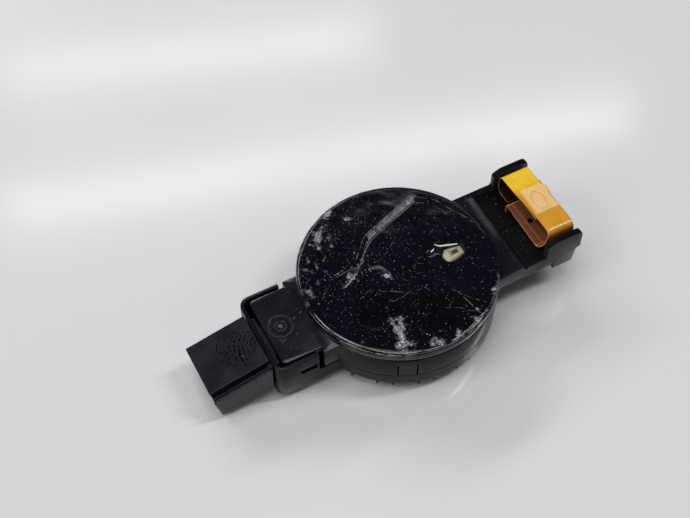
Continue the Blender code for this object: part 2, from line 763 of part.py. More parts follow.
def diodes(kit):
    low = BOARD_TOP_Z + SOLDER
    half_x, half_y = DIODE_HALF
    names = ("infrared_emitter_1", "infrared_emitter_2", "photodiode_1", "photodiode_2")
    for name, (x, y) in zip(names, LENS_XYS):
        body = kit.box("body", (x - half_x, x + half_x), (y - half_y, y + half_y),
                       (low, low + DIODE_HEIGHT))
        dome = kit.cylinder("dome", DOME_R[0], (low + DOME_SPAN[0], low + DOME_SPAN[1]), (x, y),
                            top_radius=DOME_R[1])
        kit.finish(kit.add(body, dome), name, DIODE_DARK)
    wall = kit.box("wall", BARRIER_X, BARRIER_Y, (low, low + BARRIER_HEIGHT))
    kit.finish(wall, "light_barrier", BLACK_MATTE)


# ---------------------------------------------------------------- electronics

def main_board(kit):
    board = kit.cylinder("board", BOARD_R, (BOARD_TOP_Z - BOARD_THICK, BOARD_TOP_Z), steps=64)
    tail = kit.box("tail", BOARD_TAIL_X, BOARD_TAIL_Y, (BOARD_TOP_Z - BOARD_THICK, BOARD_TOP_Z))
    kit.finish(kit.add(board, tail), "main_board", BOARD_GREEN)


def components(kit):
    """What hangs under the board."""
    top = BOARD_TOP_Z - BOARD_THICK - SOLDER
    for name, (xs, ys, height) in (("microcontroller", PROCESSOR), ("bus_transceiver", TRANSCEIVER)):
        kit.finish(kit.box("chip", xs, ys, (top - height, top)), name, CHIP_BLACK)
    for k, y in enumerate(CAPACITOR_YS):
        can = kit.cylinder("can", CAPACITOR_R, (top - CAPACITOR_HEIGHT, top), (CAPACITOR_X, y))
        kit.finish(can, f"capacitor_{k + 1}", CAN_METAL)
    coil = kit.cylinder("coil", INDUCTOR_R, (top - INDUCTOR_HEIGHT, top), INDUCTOR_XY)
    kit.finish(coil, "inductor", CHIP_BLACK)


# ---------------------------------------------------------------- connector

def shroud_frame():
    """Local frame of the connector: X outward, Z out of its top face, origin at its root."""
    root = Matrix.Translation((FRAME_X, 0.0, SHROUD_TOP_Z))
    outward = Matrix.Rotation(-PITCH, 4, 'Y') @ Matrix.Diagonal((-1.0, 1.0, 1.0, 1.0))
    return root @ outward


def local_box(kit, name, ls, ys, ds):
    """A box given by its reach along the shroud, its Y span and its depth under the top."""
    solid = kit.box(name, ls, ys, (-ds[1], -ds[0]))
    mesh = solid.data
    mesh.transform(shroud_frame() @ solid.matrix_basis)
    mesh.flip_normals()
    solid.matrix_basis = Matrix.Identity(4)
    return solid


def plug_span_y(clearance):
    return SHROUD_Y[0] + PLUG_INSET - clearance, SHROUD_Y[1] - PLUG_INSET + clearance


def connector_shroud(kit):
    block = local_box(kit, "block", (-4 * PAST, SHROUD_LENGTH), SHROUD_Y, (0.0, SHROUD_HEIGHT))
    beyond = kit.box("beyond", (FRAME_X - SEAM, 0.0), SIDE_SPAN, (-SHROUD_LENGTH, 2 * TOP_Z))
    block = kit.cut(block, beyond)
    step = local_box(kit, "step", (-5 * PAST, SHROUD_LENGTH + PAST),
                     (SHROUD_Y[0] - PAST, KEYWAY_Y[1]), (-PAST, LIP_DROP))
    keyway = local_box(kit, "keyway", (-5 * PAST, SHROUD_LENGTH + PAST), KEYWAY_Y,
                       (-PAST, LIP_DROP + KEYWAY_DEPTH))
    block = kit.cut(block, step, keyway)
    plug = local_box(kit, "plug", (-PLUG_DEPTH, PAST), plug_span_y(0.0), PLUG_DEPTHS)
    block = kit.add(block, plug)
    cavity = local_box(kit, "cavity", (SHROUD_LENGTH - CAVITY_DEPTH, SHROUD_LENGTH + PAST), CAVITY_Y,
                       (SHROUD_WALL, SHROUD_HEIGHT - SHROUD_WALL))
    back = local_box(kit, "back", (-PLUG_DEPTH - PAST, SHROUD_LENGTH - CAVITY_DEPTH + PAST),
                     carrier_span_y(0.0), CARRIER_DEPTHS)
    block = kit.cut(block, cavity, back)
    return kit.finish(block, "connector_shroud", BLACK_SATIN)


def carrier_span_y(clearance):
    inset = CARRIER_MARGIN + clearance
    return CAVITY_Y[0] + inset, CAVITY_Y[1] - inset


def pin_ys():
    middle = (CAVITY_Y[0] + CAVITY_Y[1]) / 2
    return [middle + k * PIN_PITCH for k in (-1, 0, 1)]


def terminals(kit):
    frame = shroud_frame()
    depth = SHROUD_HEIGHT / 2
    back = SHROUD_LENGTH - CAVITY_DEPTH
    depths = (CARRIER_DEPTHS[0] + GAP, CARRIER_DEPTHS[1] - GAP)
    carrier = local_box(kit, "carrier", (-PLUG_DEPTH - 2 * SEAM, back + GAP), carrier_span_y(GAP),
                        depths)
    for y in pin_ys():
        way = [frame @ Vector((reach, y, -depth)) for reach in (-3 * PAST, 3 * PAST)]
        carrier = kit.cut(carrier, kit.wire("way", way, PIN_R + PIN_CLEARANCE))
    kit.finish(carrier, "terminal_carrier", BLACK_MATTE)
    for k, y in enumerate(pin_ys()):
        tip = frame @ Vector((back + PIN_REACH, y, -depth))
        inner = frame @ Vector((PIN_INNER, y, -depth))
        foot_z = BOARD_TOP_Z + PIN_R + SOLDER
        knee_x = inner.x + PIN_KNEE
        route = [tip, inner, (knee_x, y, inner.z - 0.2), (knee_x + 0.5, y, foot_z + 0.5),
                 (knee_x + 0.9, y, foot_z), (knee_x + 2.2, y, foot_z)]
        kit.finish(kit.wire("pin", route, PIN_R), f"terminal_pin_{k + 1}", TIN)


# ---------------------------------------------------------------- humidity arm

def arm_cover(kit):
    low = TOP_Z - COVER_DROP
    outline = rounded([
        (COVER_X + GAP, low, SEAM),
        (COVER_BOTTOM_X, low, DECK_CORNER_R),
        (CHANNEL_END_X, TOP_Z, 0.0),
        (COVER_X + GAP, TOP_Z, 0.0),
    ], steps=3)
    end = kit.plate("end", outline, (-DECK_HALF_Y, DECK_HALF_Y), edge=SOFT_EDGE,
                    turn=upright(0.0))
    limit = kit.combine(cover_limit(kit), cover_split(kit, SEAM), 'INTERSECT')
    end = kit.combine(end, limit, 'INTERSECT')
    lid_zs = (TOP_Z - DECK_SIDE, TOP_Z - DECK_SIDE + LID_THICK)
    room = kit.box("room", (COVER_X - PAST, DECK_X), deck_inside_y(), (lid_zs[1], TOP_Z + PAST))
    end = kit.cut(end, room)
    lid = kit.box("lid", (DRUM_R + GAP, COVER_X + PAST), deck_inside_y(GAP), lid_zs)
    return kit.finish(kit.add(end, lid), "arm_cover", BLACK_SATIN)


def strip(kit, name, path, span, across='X'):
    """A strip of the flex's thickness, bent along (side, height) points, wide along one axis."""
    bm = bmesh.new()
    if across == 'X':
        places = [(span[0], side, height) for side, height in path]
        sweep = (span[1] - span[0], 0.0, 0.0)
    else:
        places = [(side, span[0], height) for side, height in path]
        sweep = (0.0, span[1] - span[0], 0.0)
    verts = [bm.verts.new(place) for place in places]
    for first, second in zip(verts, verts[1:]):
        bm.edges.new((first, second))
    extruded = bmesh.ops.extrude_edge_only(bm, edges=bm.edges[:])
    moved = [item for item in extruded["geom"] if isinstance(item, bmesh.types.BMVert)]
    bmesh.ops.translate(bm, verts=moved, vec=sweep)
    made = kit.mesh_object(name, bm)
    solid = made.modifiers.new("thickness", 'SOLIDIFY')
    solid.thickness = FLEX_THICK
    solid.offset = 0.0
    solid.use_even_offset = True
    return kit.baked(made)


def flex_loop(kit):
    mid = FLEX_THICK / 2
    top = FLEX_TOP_Z - mid
    low = FLEX_LOWER_Z + mid
    slide = bpy.data.objects.new("contact_slide", None)
    slide.location = Vector(((FLEX_X[0] + FLEX_X[1]) / 2, 0.0, FLEX_TOP_Z)) / METRE
    kit.parts.objects.link(slide)
    bpy.context.view_layer.update()

    contact = kit.box("top", FLEX_X, (FLEX_NEAR_Y + GAP, FLEX_FAR_Y - GAP), (top - mid, top + mid))
    kit.finish(contact, "flex_contact", POLYIMIDE, slide)
    under = top - mid - GAP
    board = kit.box("board", (FLEX_X[0] + 0.2, FLEX_X[1] + 0.4), STIFFENER_Y,
                    (under - STIFFENER_THICK, under))
    kit.finish(board, "contact_stiffener", STIFFENER, slide)
    chip = kit.box("chip", HUMIDITY_CHIP_X, HUMIDITY_CHIP_Y,
                   (under - HUMIDITY_CHIP_DROP[1], under - HUMIDITY_CHIP_DROP[0]))
    kit.finish(chip, "humidity_temperature_chip", CHIP_BLACK, slide)

    near_r = (top - low) / 2
    near = [(y, z) for y, z in arc((FLEX_NEAR_Y, low + near_r), near_r, 90, 270, 12)]
    kit.finish(strip(kit, "near", near, FLEX_X), "flex_near_bend", POLYIMIDE)
    well_low = TOP_Z - RECESS_DEPTH + GAP + mid
    turn = FAR_TURN_R
    side_y = FLEX_END_Y - mid
    far = [(FLEX_FAR_Y, top)]
    far += arc((side_y - turn, top - turn), turn, 90, 0, 6)
    far += arc((side_y - turn, well_low + turn), turn, 0, -90, 6)
    far.append((RISER_Y + 1.2, well_low))
    kit.finish(strip(kit, "far", far, FLEX_X), "flex_far_bend", POLYIMIDE)

    lower = kit.box("lower", FLEX_LOWER_X, (FLEX_NEAR_Y + GAP, RISER_Y - GAP),
                    (low - mid, low + mid))
    hole = kit.cylinder("hole", FLEX_HOLE_R, (TOP_Z, TOP_Z + 2 * PAST), FLEX_HOLE_XY)
    kit.finish(kit.cut(lower, hole), "flex_lower", COPPER_FLEX)


def flex_tail(kit):
    """From the slot in the deck, under it, through the drum's wall and down to the board."""
    mid = FLEX_THICK / 2
    run_z = TOP_Z - DECK_THICK - TAIL_DROP
    run_ys = (RISER_Y - TAIL_WIDTH, RISER_Y + FLEX_THICK)
    riser = kit.box("riser", FLEX_LOWER_X, (RISER_Y, RISER_Y + FLEX_THICK),
                    (run_z - mid, FLEX_LOWER_Z + FLEX_THICK))
    plug_z = BOARD_TOP_Z + PLUG_LIFT
    route = [
        (TAIL_END_X, run_z),
        (17.2, run_z),
        (16.2, run_z - 0.3),
        (15.6, plug_z + 0.5),
        (15.2, plug_z + 0.1),
        (14.6, plug_z),
        (13.2, plug_z),
    ]
    tail = kit.add(strip(kit, "tail", route, run_ys, across='Y'), riser)
    kit.finish(tail, "flex_tail", POLYIMIDE)
    socket = kit.box("socket", SOCKET_X, (run_ys[0] - 0.8, run_ys[1] + 0.8),
                     (BOARD_TOP_Z + SOLDER, BOARD_TOP_Z + SOCKET_HEIGHT))
    slit = kit.box("slit", (SOCKET_X[0] + PAST, SOCKET_X[1] + PAST), (run_ys[0] - GAP, run_ys[1] + GAP),
                   (plug_z - mid - SEAM, plug_z + mid + SEAM))
    kit.finish(kit.cut(socket, slit), "flex_socket", CONNECTOR_WHITE)


def main():
    clear_scene()
    kit = Kit()
    lower_housing(kit)
    upper_housing(kit)
    coupling_pad(kit)
    light_sensor(kit)
    lens_plate(kit)
    diodes(kit)
    main_board(kit)
    components(kit)
    connector_shroud(kit)
    terminals(kit)
    arm_cover(kit)
    flex_loop(kit)
    flex_tail(kit)


main()
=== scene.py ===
"""Looks of a windscreen rain, light and humidity sensor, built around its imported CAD."""
import random
from math import atan2, copysign, cos, degrees, exp, hypot, pi, radians, sin, sqrt

import bmesh
import bpy
from mathutils import Matrix, Vector, noise


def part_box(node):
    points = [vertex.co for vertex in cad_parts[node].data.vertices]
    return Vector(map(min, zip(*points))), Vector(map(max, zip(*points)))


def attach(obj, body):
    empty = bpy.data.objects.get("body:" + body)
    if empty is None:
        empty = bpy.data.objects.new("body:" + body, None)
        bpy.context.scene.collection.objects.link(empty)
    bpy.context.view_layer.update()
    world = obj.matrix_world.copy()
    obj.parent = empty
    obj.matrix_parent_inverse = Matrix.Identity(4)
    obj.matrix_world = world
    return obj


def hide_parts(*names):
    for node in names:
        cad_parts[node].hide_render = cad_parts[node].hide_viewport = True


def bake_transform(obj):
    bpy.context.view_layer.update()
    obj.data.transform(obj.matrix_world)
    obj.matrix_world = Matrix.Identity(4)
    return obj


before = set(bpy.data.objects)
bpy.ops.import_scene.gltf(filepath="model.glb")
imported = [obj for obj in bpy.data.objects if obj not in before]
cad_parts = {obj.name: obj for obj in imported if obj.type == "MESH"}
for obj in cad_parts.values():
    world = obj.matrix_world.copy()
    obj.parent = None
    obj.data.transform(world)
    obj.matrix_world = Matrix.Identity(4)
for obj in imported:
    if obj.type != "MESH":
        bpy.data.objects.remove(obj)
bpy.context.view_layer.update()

# Lengths are in millimetres here, and are scaled where an object is made
MM = 0.001
TURN = 2 * pi
UP = Vector((0.0, 0.0, 1.0))
SENSOR = "sensor_body"


def mm_box(node):
    low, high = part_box(node)
    return low / MM, high / MM


PAD_LOW, PAD_HIGH = mm_box("coupling_pad")
PAD_R = (PAD_HIGH.x - PAD_LOW.x) / 2
PAD_EDGE = 0.8
PAD_FLAT_R = PAD_R - PAD_EDGE
# The gel's plain top lies a little low, which leaves room for its relief
PAD_TOP = PAD_HIGH.z - 0.06
# Top plate of the housing, under the pad
TOP_Z = PAD_LOW.z - 0.3
# The right arm starts at ARM_X, and its deck is matte from MATTE_X on
ARM_X = 14.0
MATTE_X = 21.75

WINDOW_LOW, WINDOW_HIGH = mm_box("ambient_window")
WINDOW = (WINDOW_LOW + WINDOW_HIGH) / 2
WINDOW_R = (WINDOW_HIGH.x - WINDOW_LOW.x) / 2
CHIP_LOW, CHIP_HIGH = mm_box("light_sensor_chip")

FLEX_LOW, FLEX_HIGH = mm_box("flex_contact")
LOWER_LOW, LOWER_HIGH = mm_box("flex_lower")
NEAR_LOW, _ = mm_box("flex_near_bend")
FAR_LOW, FAR_HIGH = mm_box("flex_far_bend")
FLEX_THICK = FLEX_HIGH.z - FLEX_LOW.z
# A hole in the lower run, and the oval embossed on the contact
FLEX_HOLE = (28.5, -1.4)
OVAL_XY = (30.7, -0.1)
OVAL_RADII = (1.4, 2.45)

GEL_IOR = 1.41
PRINT_XY = (-33.4, 0.3)
PRINT_RADII = (4.6, 4.3)
PRINT_PITCH = 0.62


# ---- node helper

def operation(kind):
    return lambda self, other=0.0: self.shader.math(kind, self, other)


class Wire:
    """A node's output. Arithmetic on it adds Math nodes."""
    __add__ = operation('ADD')
    __sub__ = operation('SUBTRACT')
    __mul__ = operation('MULTIPLY')
    __truediv__ = operation('DIVIDE')
    __pow__ = operation('POWER')
    __abs__ = operation('ABSOLUTE')

    def __init__(self, shader, socket):
        self.shader = shader
        self.socket = socket

    def __rsub__(self, other):
        return self.shader.math('SUBTRACT', other, self)


class Shader:
    """A Principled material whose colour, roughness and bump are built from nodes, in mm."""

    def __init__(self, name, **values):
        self.material = bpy.data.materials.new(name)
        self.material.use_nodes = True
        self.tree = self.material.node_tree
        self.bsdf = self.tree.nodes["Principled BSDF"]
        self.place = self.scaled(self.node("TexCoord", "Object", {}), 1.0 / MM)
        self.set(**values)

    def feed(self, socket, value):
        if isinstance(value, Wire):
            self.tree.links.new(value.socket, socket)
        else:
            socket.default_value = value

    def set(self, **values):
        for key, value in values.items():
            self.feed(self.bsdf.inputs[key.replace("_", " ")], value)

    def node(self, kind, output, inputs, **settings):
        """Add a node with its settings and inputs, and give one of its outputs."""
        node = self.tree.nodes.new("ShaderNode" + kind)
        for key, value in settings.items():
            setattr(node, key, value)
        for key, value in inputs.items():
            self.feed(node.inputs[key], value)
        return Wire(self, node.outputs[output])

    def math(self, operation, a, b=0.0):
        return self.node("Math", 0, {0: a, 1: b}, operation=operation)

    def most(self, a, b):
        return self.math('MAXIMUM', a, b)

    def vector(self, operation, a, b):
        return self.node("VectorMath", "Vector", {0: a, 1: b}, operation=operation)

    def scaled(self, vector, factor):
        return self.node("VectorMath", "Vector", {0: vector, "Scale": factor}, operation='SCALE')

    def length(self, vector):
        return self.node("VectorMath", "Value", {0: vector}, operation='LENGTH')

    def axis(self, name, vector=None):
        return self.node("SeparateXYZ", name, {0: vector or self.place})

    def stretched(self, factors):
        return self.vector('MULTIPLY', self.place, factors)

    def noise(self, size, detail=3.0, rough=0.5, place=None, output="Fac"):
        inputs = {"Vector": place or self.place, "Scale": 1.0 / size, "Detail": detail,
                  "Roughness": rough}
        return self.node("TexNoise", output, inputs)

    def cells(self, size, output="Distance", feature='F1', place=None):
        inputs = {"Vector": place or self.place, "Scale": 1.0 / size}
        return self.node("TexVoronoi", output, inputs, feature=feature)

    def fit(self, value, low, high, to_low=0.0, to_high=1.0, smooth=False):
        """Map low..high onto to_low..to_high, and hold the ends."""
        inputs = dict(enumerate((value, low, high, to_low, to_high)))
        kind = 'SMOOTHSTEP' if smooth else 'LINEAR'
        return self.node("MapRange", 0, inputs, interpolation_type=kind)

    def mix(self, factor, a, b):
        """Blend two colours, given as wires or as three numbers each."""
        a, b = ((*c, 1.0) if isinstance(c, tuple) else c for c in (a, b))
        return self.node("Mix", 2, {0: factor, 6: a, 7: b}, data_type='RGBA')

    def attribute(self, name):
        return self.node("Attribute", "Fac", {}, attribute_name=name)

    def rounded(self, radius):
        """Normals that turn round the edges within a radius."""
        return self.node("Bevel", 0, {"Radius": radius * MM}, samples=6)

    def bump(self, height, depth, normal=None):
        """Bump whose height runs from 0 to depth, over another normal if there is one."""
        inputs = {"Height": height, "Distance": depth * MM}
        if normal is not None:
            inputs["Normal"] = normal
        return self.node("Bump", "Normal", inputs)

    def away(self, centre, radii=(1.0, 1.0)):
        """Distance in plan from a centre, counted so that an oval of these radii is at 1."""
        offset = self.vector('SUBTRACT', self.place, (*centre, 0.0))
        return self.length(self.vector('MULTIPLY', offset, (1 / radii[0], 1 / radii[1], 0.0)))

    def oval(self, centre, radii, slant=0.0):
        """1 inside a slanted squarish oval of the plan, fading to 0 round it."""
        offset = self.vector('SUBTRACT', self.place, (*centre, 0.0))
        x = self.axis("X", offset)
        y = self.axis("Y", offset) - x * slant
        return self.fit(abs(x / radii[0]) ** 3.0 + abs(y / radii[1]) ** 3.0, 1.05, 0.7, smooth=True)

    def specks(self, size, share, spread=0.22):
        """Irregular dots, 0 or 1: this share of the cells holds a dot."""
        shift = self.scaled(self.noise(size * 0.6, detail=2.0, output="Color"), size * 0.22)
        warped = self.vector('ADD', self.place, shift)
        pick = self.cells(size, output="Color", place=warped)
        chosen = self.math('LESS_THAN', self.axis("X", pick), share)
        near = self.cells(size, place=warped)
        return self.math('LESS_THAN', near, self.axis("Y", pick) * spread) * chosen

    def see_through(self, factor, normal, index):
        """Where factor is 1 the surface is clear, and keeps only its gloss."""
        fresnel = self.node("Fresnel", 0, {"IOR": index, "Normal": normal})
        gloss = self.node("BsdfGlossy", 0, {"Roughness": 0.16, "Normal": normal})
        open_air = self.node("BsdfTransparent", 0, {})
        clear = self.node("MixShader", 0, {0: fresnel, 1: open_air, 2: gloss})
        plain = Wire(self, self.bsdf.outputs[0])
        surface = self.node("MixShader", 0, {0: factor, 1: plain, 2: clear})
        self.feed(self.tree.nodes["Material Output"].inputs["Surface"], surface)


# ---- materials

def moulded(name, low, high, rough, grain=0.002, sheen=0.5):
    """Moulded black plastic: uneven gloss, fine grain, faint wipe marks and specks of dust."""
    s = Shader(name, Specular_IOR_Level=sheen)
    cloud = s.noise(6.0, detail=4.0)
    fine = s.noise(0.09, detail=2.0)
    wipes = s.noise(0.5, place=s.stretched((0.12, 1.6, 1.0)))
    dots = s.specks(0.55, 0.02)
    s.set(Base_Color=s.mix(dots, s.mix(cloud, low, high), (0.3, 0.3, 0.31)))
    s.set(Roughness=s.fit(cloud * 0.6 + wipes * 0.4, 0.3, 0.7, *rough) + dots * 0.3)
    s.set(Normal=s.bump(fine, grain, s.bump(wipes, grain * 0.6, s.rounded(0.22))))
    return s.material


def upper_plastic():
    """Polished over the drum and the left plate, and matte on the right arm and its walls; the arm's
    walls are painted lighter than its deck.
    """
    s = Shader("upper_plastic")
    along = s.axis("X")
    arm = s.fit(along, ARM_X, ARM_X + 0.6)
    side = s.fit(abs(s.axis("Z", s.node("TexCoord", "Normal", {}))), 0.6, 0.4)
    matte = s.most(s.fit(along, MATTE_X - 0.05, MATTE_X + 0.05), side * arm)
    cloud = s.noise(5.0, detail=4.0)
    wipes = s.noise(0.45, place=s.stretched((0.1, 1.8, 1.0)))
    gloss = s.mix(cloud, (0.0035, 0.0034, 0.006), (0.0075, 0.0073, 0.012))
    deck = s.mix(s.noise(0.25), (0.0022, 0.0022, 0.0026), (0.0048, 0.0048, 0.0052))
    # Painted light: the arm's side walls, picked by their normals, are coloured lighter than its deck
    wall_painted_lighter = s.mix(cloud, (0.017, 0.017, 0.0175), (0.025, 0.025, 0.0255))
    colour = s.mix(matte, gloss, s.mix(side * arm, deck, wall_painted_lighter))
    s.set(Base_Color=s.mix(s.specks(0.5, 0.035), colour, (0.26, 0.26, 0.27)))
    smear = s.fit(cloud * 0.6 + wipes * 0.4, 0.32, 0.68, 0.12, 0.24)
    s.set(Roughness=smear * (1.0 - matte) + matte * 0.36)
    # The walls mirror less than the tops on the drum, and more than them on the arm
    extra = side * s.fit(along, ARM_X, ARM_X + 0.6, 0.3, -0.22)
    s.set(Specular_IOR_Level=s.fit(matte, 0.0, 1.0, 0.5, 0.06) - extra)
    grain = s.bump(s.noise(0.08, detail=2.0), 0.0012, s.rounded(0.2))
    s.set(Normal=s.bump(s.noise(0.16) * matte, 0.004, grain))
    return s.material


def fingerprint(s):
    """Ridges of a smudged fingerprint, 0 to 1. The core of its whorls lies off its middle."""
    inside = s.fit(s.away(PRINT_XY, PRINT_RADII), 1.0, 0.75, smooth=True)
    core = s.vector('SUBTRACT', s.place, (PRINT_XY[0] + 5.0, PRINT_XY[1] - 1.5, 0.0))
    bent = s.vector('ADD', core, s.scaled(s.noise(4.0, detail=2.0, output="Color"), 2.4))
    distance = s.length(s.vector('MULTIPLY', bent, (1.0, 0.75, 0.0)))
    ridge = s.fit(s.math('SINE', distance * (TURN / PRINT_PITCH)), -0.1, 0.6, smooth=True)
    return ridge * s.fit(s.noise(0.6, detail=2.0), 0.44, 0.56) * inside


def shroud_plastic():
    """Satin plastic with drawn striations and a smudged fingerprint on its top."""
    s = Shader("shroud_plastic", Specular_IOR_Level=0.36)
    cloud = s.noise(5.0, detail=4.0)
    lines = s.noise(0.35, place=s.stretched((0.08, 1.0, 1.0)))
    ridge = fingerprint(s)
    base = s.mix(cloud, (0.0042, 0.004, 0.008), (0.008, 0.0077, 0.014))
    smudged = s.mix(ridge * 0.9, base, (0.0015, 0.0015, 0.0022))
    s.set(Base_Color=s.mix(s.specks(0.6, 0.02), smudged, (0.25, 0.25, 0.26)))
    s.set(Roughness=s.fit(cloud + lines * 0.5, 0.4, 1.1, 0.2, 0.34) - ridge * 0.14)
    grain = s.bump(s.noise(0.09, detail=2.0), 0.0015, s.rounded(0.2))
    s.set(Normal=s.bump(ridge, -0.004, s.bump(lines, 0.002, grain)))
    return s.material


def gel():
    """Clear coupling gel: black over the housing, see-through at the window, white where torn."""
    s = Shader("gel", IOR=GEL_IOR)
    olive = s.attribute("olive")
    cloud = s.noise(3.0, detail=5.0)
    crumb = s.noise(0.22, detail=4.0, rough=0.65)
    body = s.mix(cloud, (0.0014, 0.0013, 0.0038), (0.0038, 0.0035, 0.0082))
    body = s.mix(olive * s.fit(crumb, 0.35, 0.7), body, (0.0028, 0.0027, 0.0014))
    torn = s.attribute("wear") * s.fit(crumb, 0.42, 0.62)
    white = s.most(torn, s.specks(0.36, 0.1, 0.19) * 0.7)
    s.set(Base_Color=s.mix(white, body, (0.52, 0.53, 0.52)))
    s.set(Roughness=s.fit(cloud, 0.3, 0.7, 0.06, 0.125) + s.attribute("haze") * 0.28)
    # The top is clear over the chip and over the painted glints laid at the guide's foot and flank
    clear = s.most(s.oval((10.9, -1.6), (2.6, 2.2), 0.12), s.oval((7.6, -0.1), (1.7, 1.25)))
    clear = s.most(clear, s.oval((9.0, 0.9), (0.8, 1.1)))
    bottom = s.fit(s.axis("Z"), PAD_LOW.z + 0.4, PAD_LOW.z + 0.3)
    clear = s.most(clear, bottom * s.oval((WINDOW.x - 0.5, WINDOW.y - 0.5), (6.0, 5.0)))
    normal = s.bump(crumb, 0.003, s.bump(s.noise(1.1), 0.007))
    s.set(Normal=normal, Specular_IOR_Level=s.fit(olive, 0.0, 1.0, 0.5, 0.22))
    s.see_through(clear * (1.0 - white), normal, GEL_IOR)
    return s.material


def crumbs(name, dark, light):
    """Torn gel and lint: each speck has its own paleness."""
    s = Shader(name, IOR=GEL_IOR)
    grain = s.noise(0.06, detail=2.0)
    pale = s.mix(grain, tuple(c * 0.85 for c in light), light)
    s.set(Base_Color=s.mix(s.attribute("tone"), dark, pale))
    s.set(Roughness=s.fit(grain, 0.3, 0.7, 0.22, 0.5), Normal=s.bump(grain, 0.02))
    return s.material


def polyimide(near_bend, far_bend):
    """Amber film over copper, told how far along the strip its two bends are, with painted shade
    inside and low on the loop.
    """
    s = Shader("polyimide_film", IOR=1.5)
    along, inner, pale = (s.attribute(name) for name in ("along", "inner", "pale"))
    film = s.noise(2.2, detail=4.0, place=s.stretched((1.0, 0.3, 1.0)))
    amber = s.mix(film, (0.54, 0.215, 0.01), (0.76, 0.37, 0.018))
    bright = s.mix(film, (0.8, 0.46, 0.012), (0.94, 0.6, 0.022))
    colour = s.mix(s.fit(along, far_bend - 6.0, far_bend - 2.4, smooth=True), amber, bright)
    # Inside the loop the lower run shows its copper and traces, and has a painted shadow under the
    # contact
    copper = s.mix(film, (0.14, 0.042, 0.02), (0.23, 0.08, 0.042))
    traces = s.fit(s.math('SINE', s.attribute("across") * 4.6), 0.8, 0.95)
    copper = s.mix(traces * 0.6, copper, (0.42, 0.16, 0.07))
    lower = inner * s.fit(along, near_bend - 2.6, near_bend - 1.8, 1.0, 0.0)
    colour = s.mix(lower, colour, copper)
    # Painted shade: the inner face past the far bend, the low parts of the strip, and the lower run
    # under the contact are darkened
    shade = inner * s.fit(along, far_bend - 1.0, far_bend)
    shade = s.most(shade, s.attribute("painted_low_shade") * (0.85 - lower))
    under = lower * s.fit(s.axis("X"), 29.6, 31.6, 0.0, 0.85, smooth=True)
    colour = s.mix(s.most(shade, under), colour, (0.02, 0.009, 0.003))
    hole = lower * s.fit(s.away(FLEX_HOLE), 0.62, 0.5)
    colour = s.mix(hole, colour, (0.002, 0.002, 0.002))
    # The contact's middle is pale over its stiffener, with an embossed oval
    colour = s.mix(pale * 0.75, colour, (0.88, 0.6, 0.26))
    band = s.fit(abs(s.away(OVAL_XY, OVAL_RADII) - 0.88), 0.1, 0.02, smooth=True) * pale
    colour = s.mix(band * 0.45, colour, (0.52, 0.27, 0.05))
    s.set(Base_Color=s.mix(s.specks(0.5, 0.03), colour, (0.75, 0.7, 0.6)), Metallic=lower * 0.15)
    s.set(Roughness=s.fit(film, 0.3, 0.7, 0.2, 0.34), Coat_Weight=0.35, Coat_Roughness=0.08)
    s.set(Normal=s.bump(band, 0.05, s.bump(s.noise(0.9), 0.02, s.bump(traces, 0.012))))
    return s.material


def cut_edge():
    """The strip's cut edge, where its layers show."""
    s = Shader("cut_edge", Roughness=0.4)
    layers = s.noise(0.5, place=s.stretched((1.0, 1.0, 6.0)))
    s.set(Base_Color=s.mix(layers, (0.26, 0.11, 0.035), (0.62, 0.38, 0.17)))
    s.set(Normal=s.bump(layers, 0.02))
    return s.material


def speckled(name, low, high, size, rough=(0.35, 0.5), metallic=0.0, **values):
    """Two tones in a noise of one size, with matching roughness and a fine bump."""
    s = Shader(name, Metallic=metallic, **values)
    cloud = s.noise(size, detail=4.0)
    s.set(Base_Color=s.mix(s.fit(cloud, 0.3, 0.7), low, high))
    s.set(Roughness=s.fit(cloud, 0.3, 0.7, *rough))
    s.set(Normal=s.bump(s.noise(size * 0.15, detail=2.0), 0.01))
    return s.material


def circuit_green():
    """Solder mask with paler traces under it, and plated pads."""
    s = Shader("circuit_green", Roughness=0.3)
    plan = s.stretched((1.0, 1.0, 0.0))
    trace = s.fit(s.cells(1.6, feature='DISTANCE_TO_EDGE', place=plan), 0.05, 0.09, 1.0, 0.0)
    pads = s.math('LESS_THAN', s.cells(2.4, place=plan), 0.13)
    green = s.mix(trace, (0.008, 0.085, 0.032), (0.018, 0.15, 0.055))
    s.set(Base_Color=s.mix(pads, green, (0.72, 0.66, 0.5)), Metallic=pads)
    s.set(Normal=s.bump(trace, 0.03))
    return s.material


def smoked_lens():
    """Dark clear plastic that is open over the light chip."""
    s = Shader("smoked_lens", IOR=1.5)
    cloud = s.noise(0.9)
    s.set(Base_Color=s.mix(cloud, (0.01, 0.009, 0.016), (0.016, 0.015, 0.026)))
    s.set(Roughness=s.fit(cloud, 0.3, 0.7, 0.08, 0.16), Normal=s.bump(cloud, 0.01))
    s.set(Alpha=1.0 - s.oval((11.75, -0.7), (2.5, 1.95), 0.1) * 0.92)
    return s.material


def worn_mark():
    """Moulded marks: paler where they are rubbed."""
    s = Shader("worn_mark")
    grain = s.noise(0.3)
    light = s.attribute("tone") * s.fit(grain, 0.35, 0.65)
    s.set(Base_Color=s.mix(light, (0.01, 0.01, 0.014), (0.085, 0.085, 0.095)))
    s.set(Roughness=s.fit(grain, 0.3, 0.7, 0.25, 0.5), Normal=s.bump(grain, 0.02))
    return s.material


# ---- mesh helpers

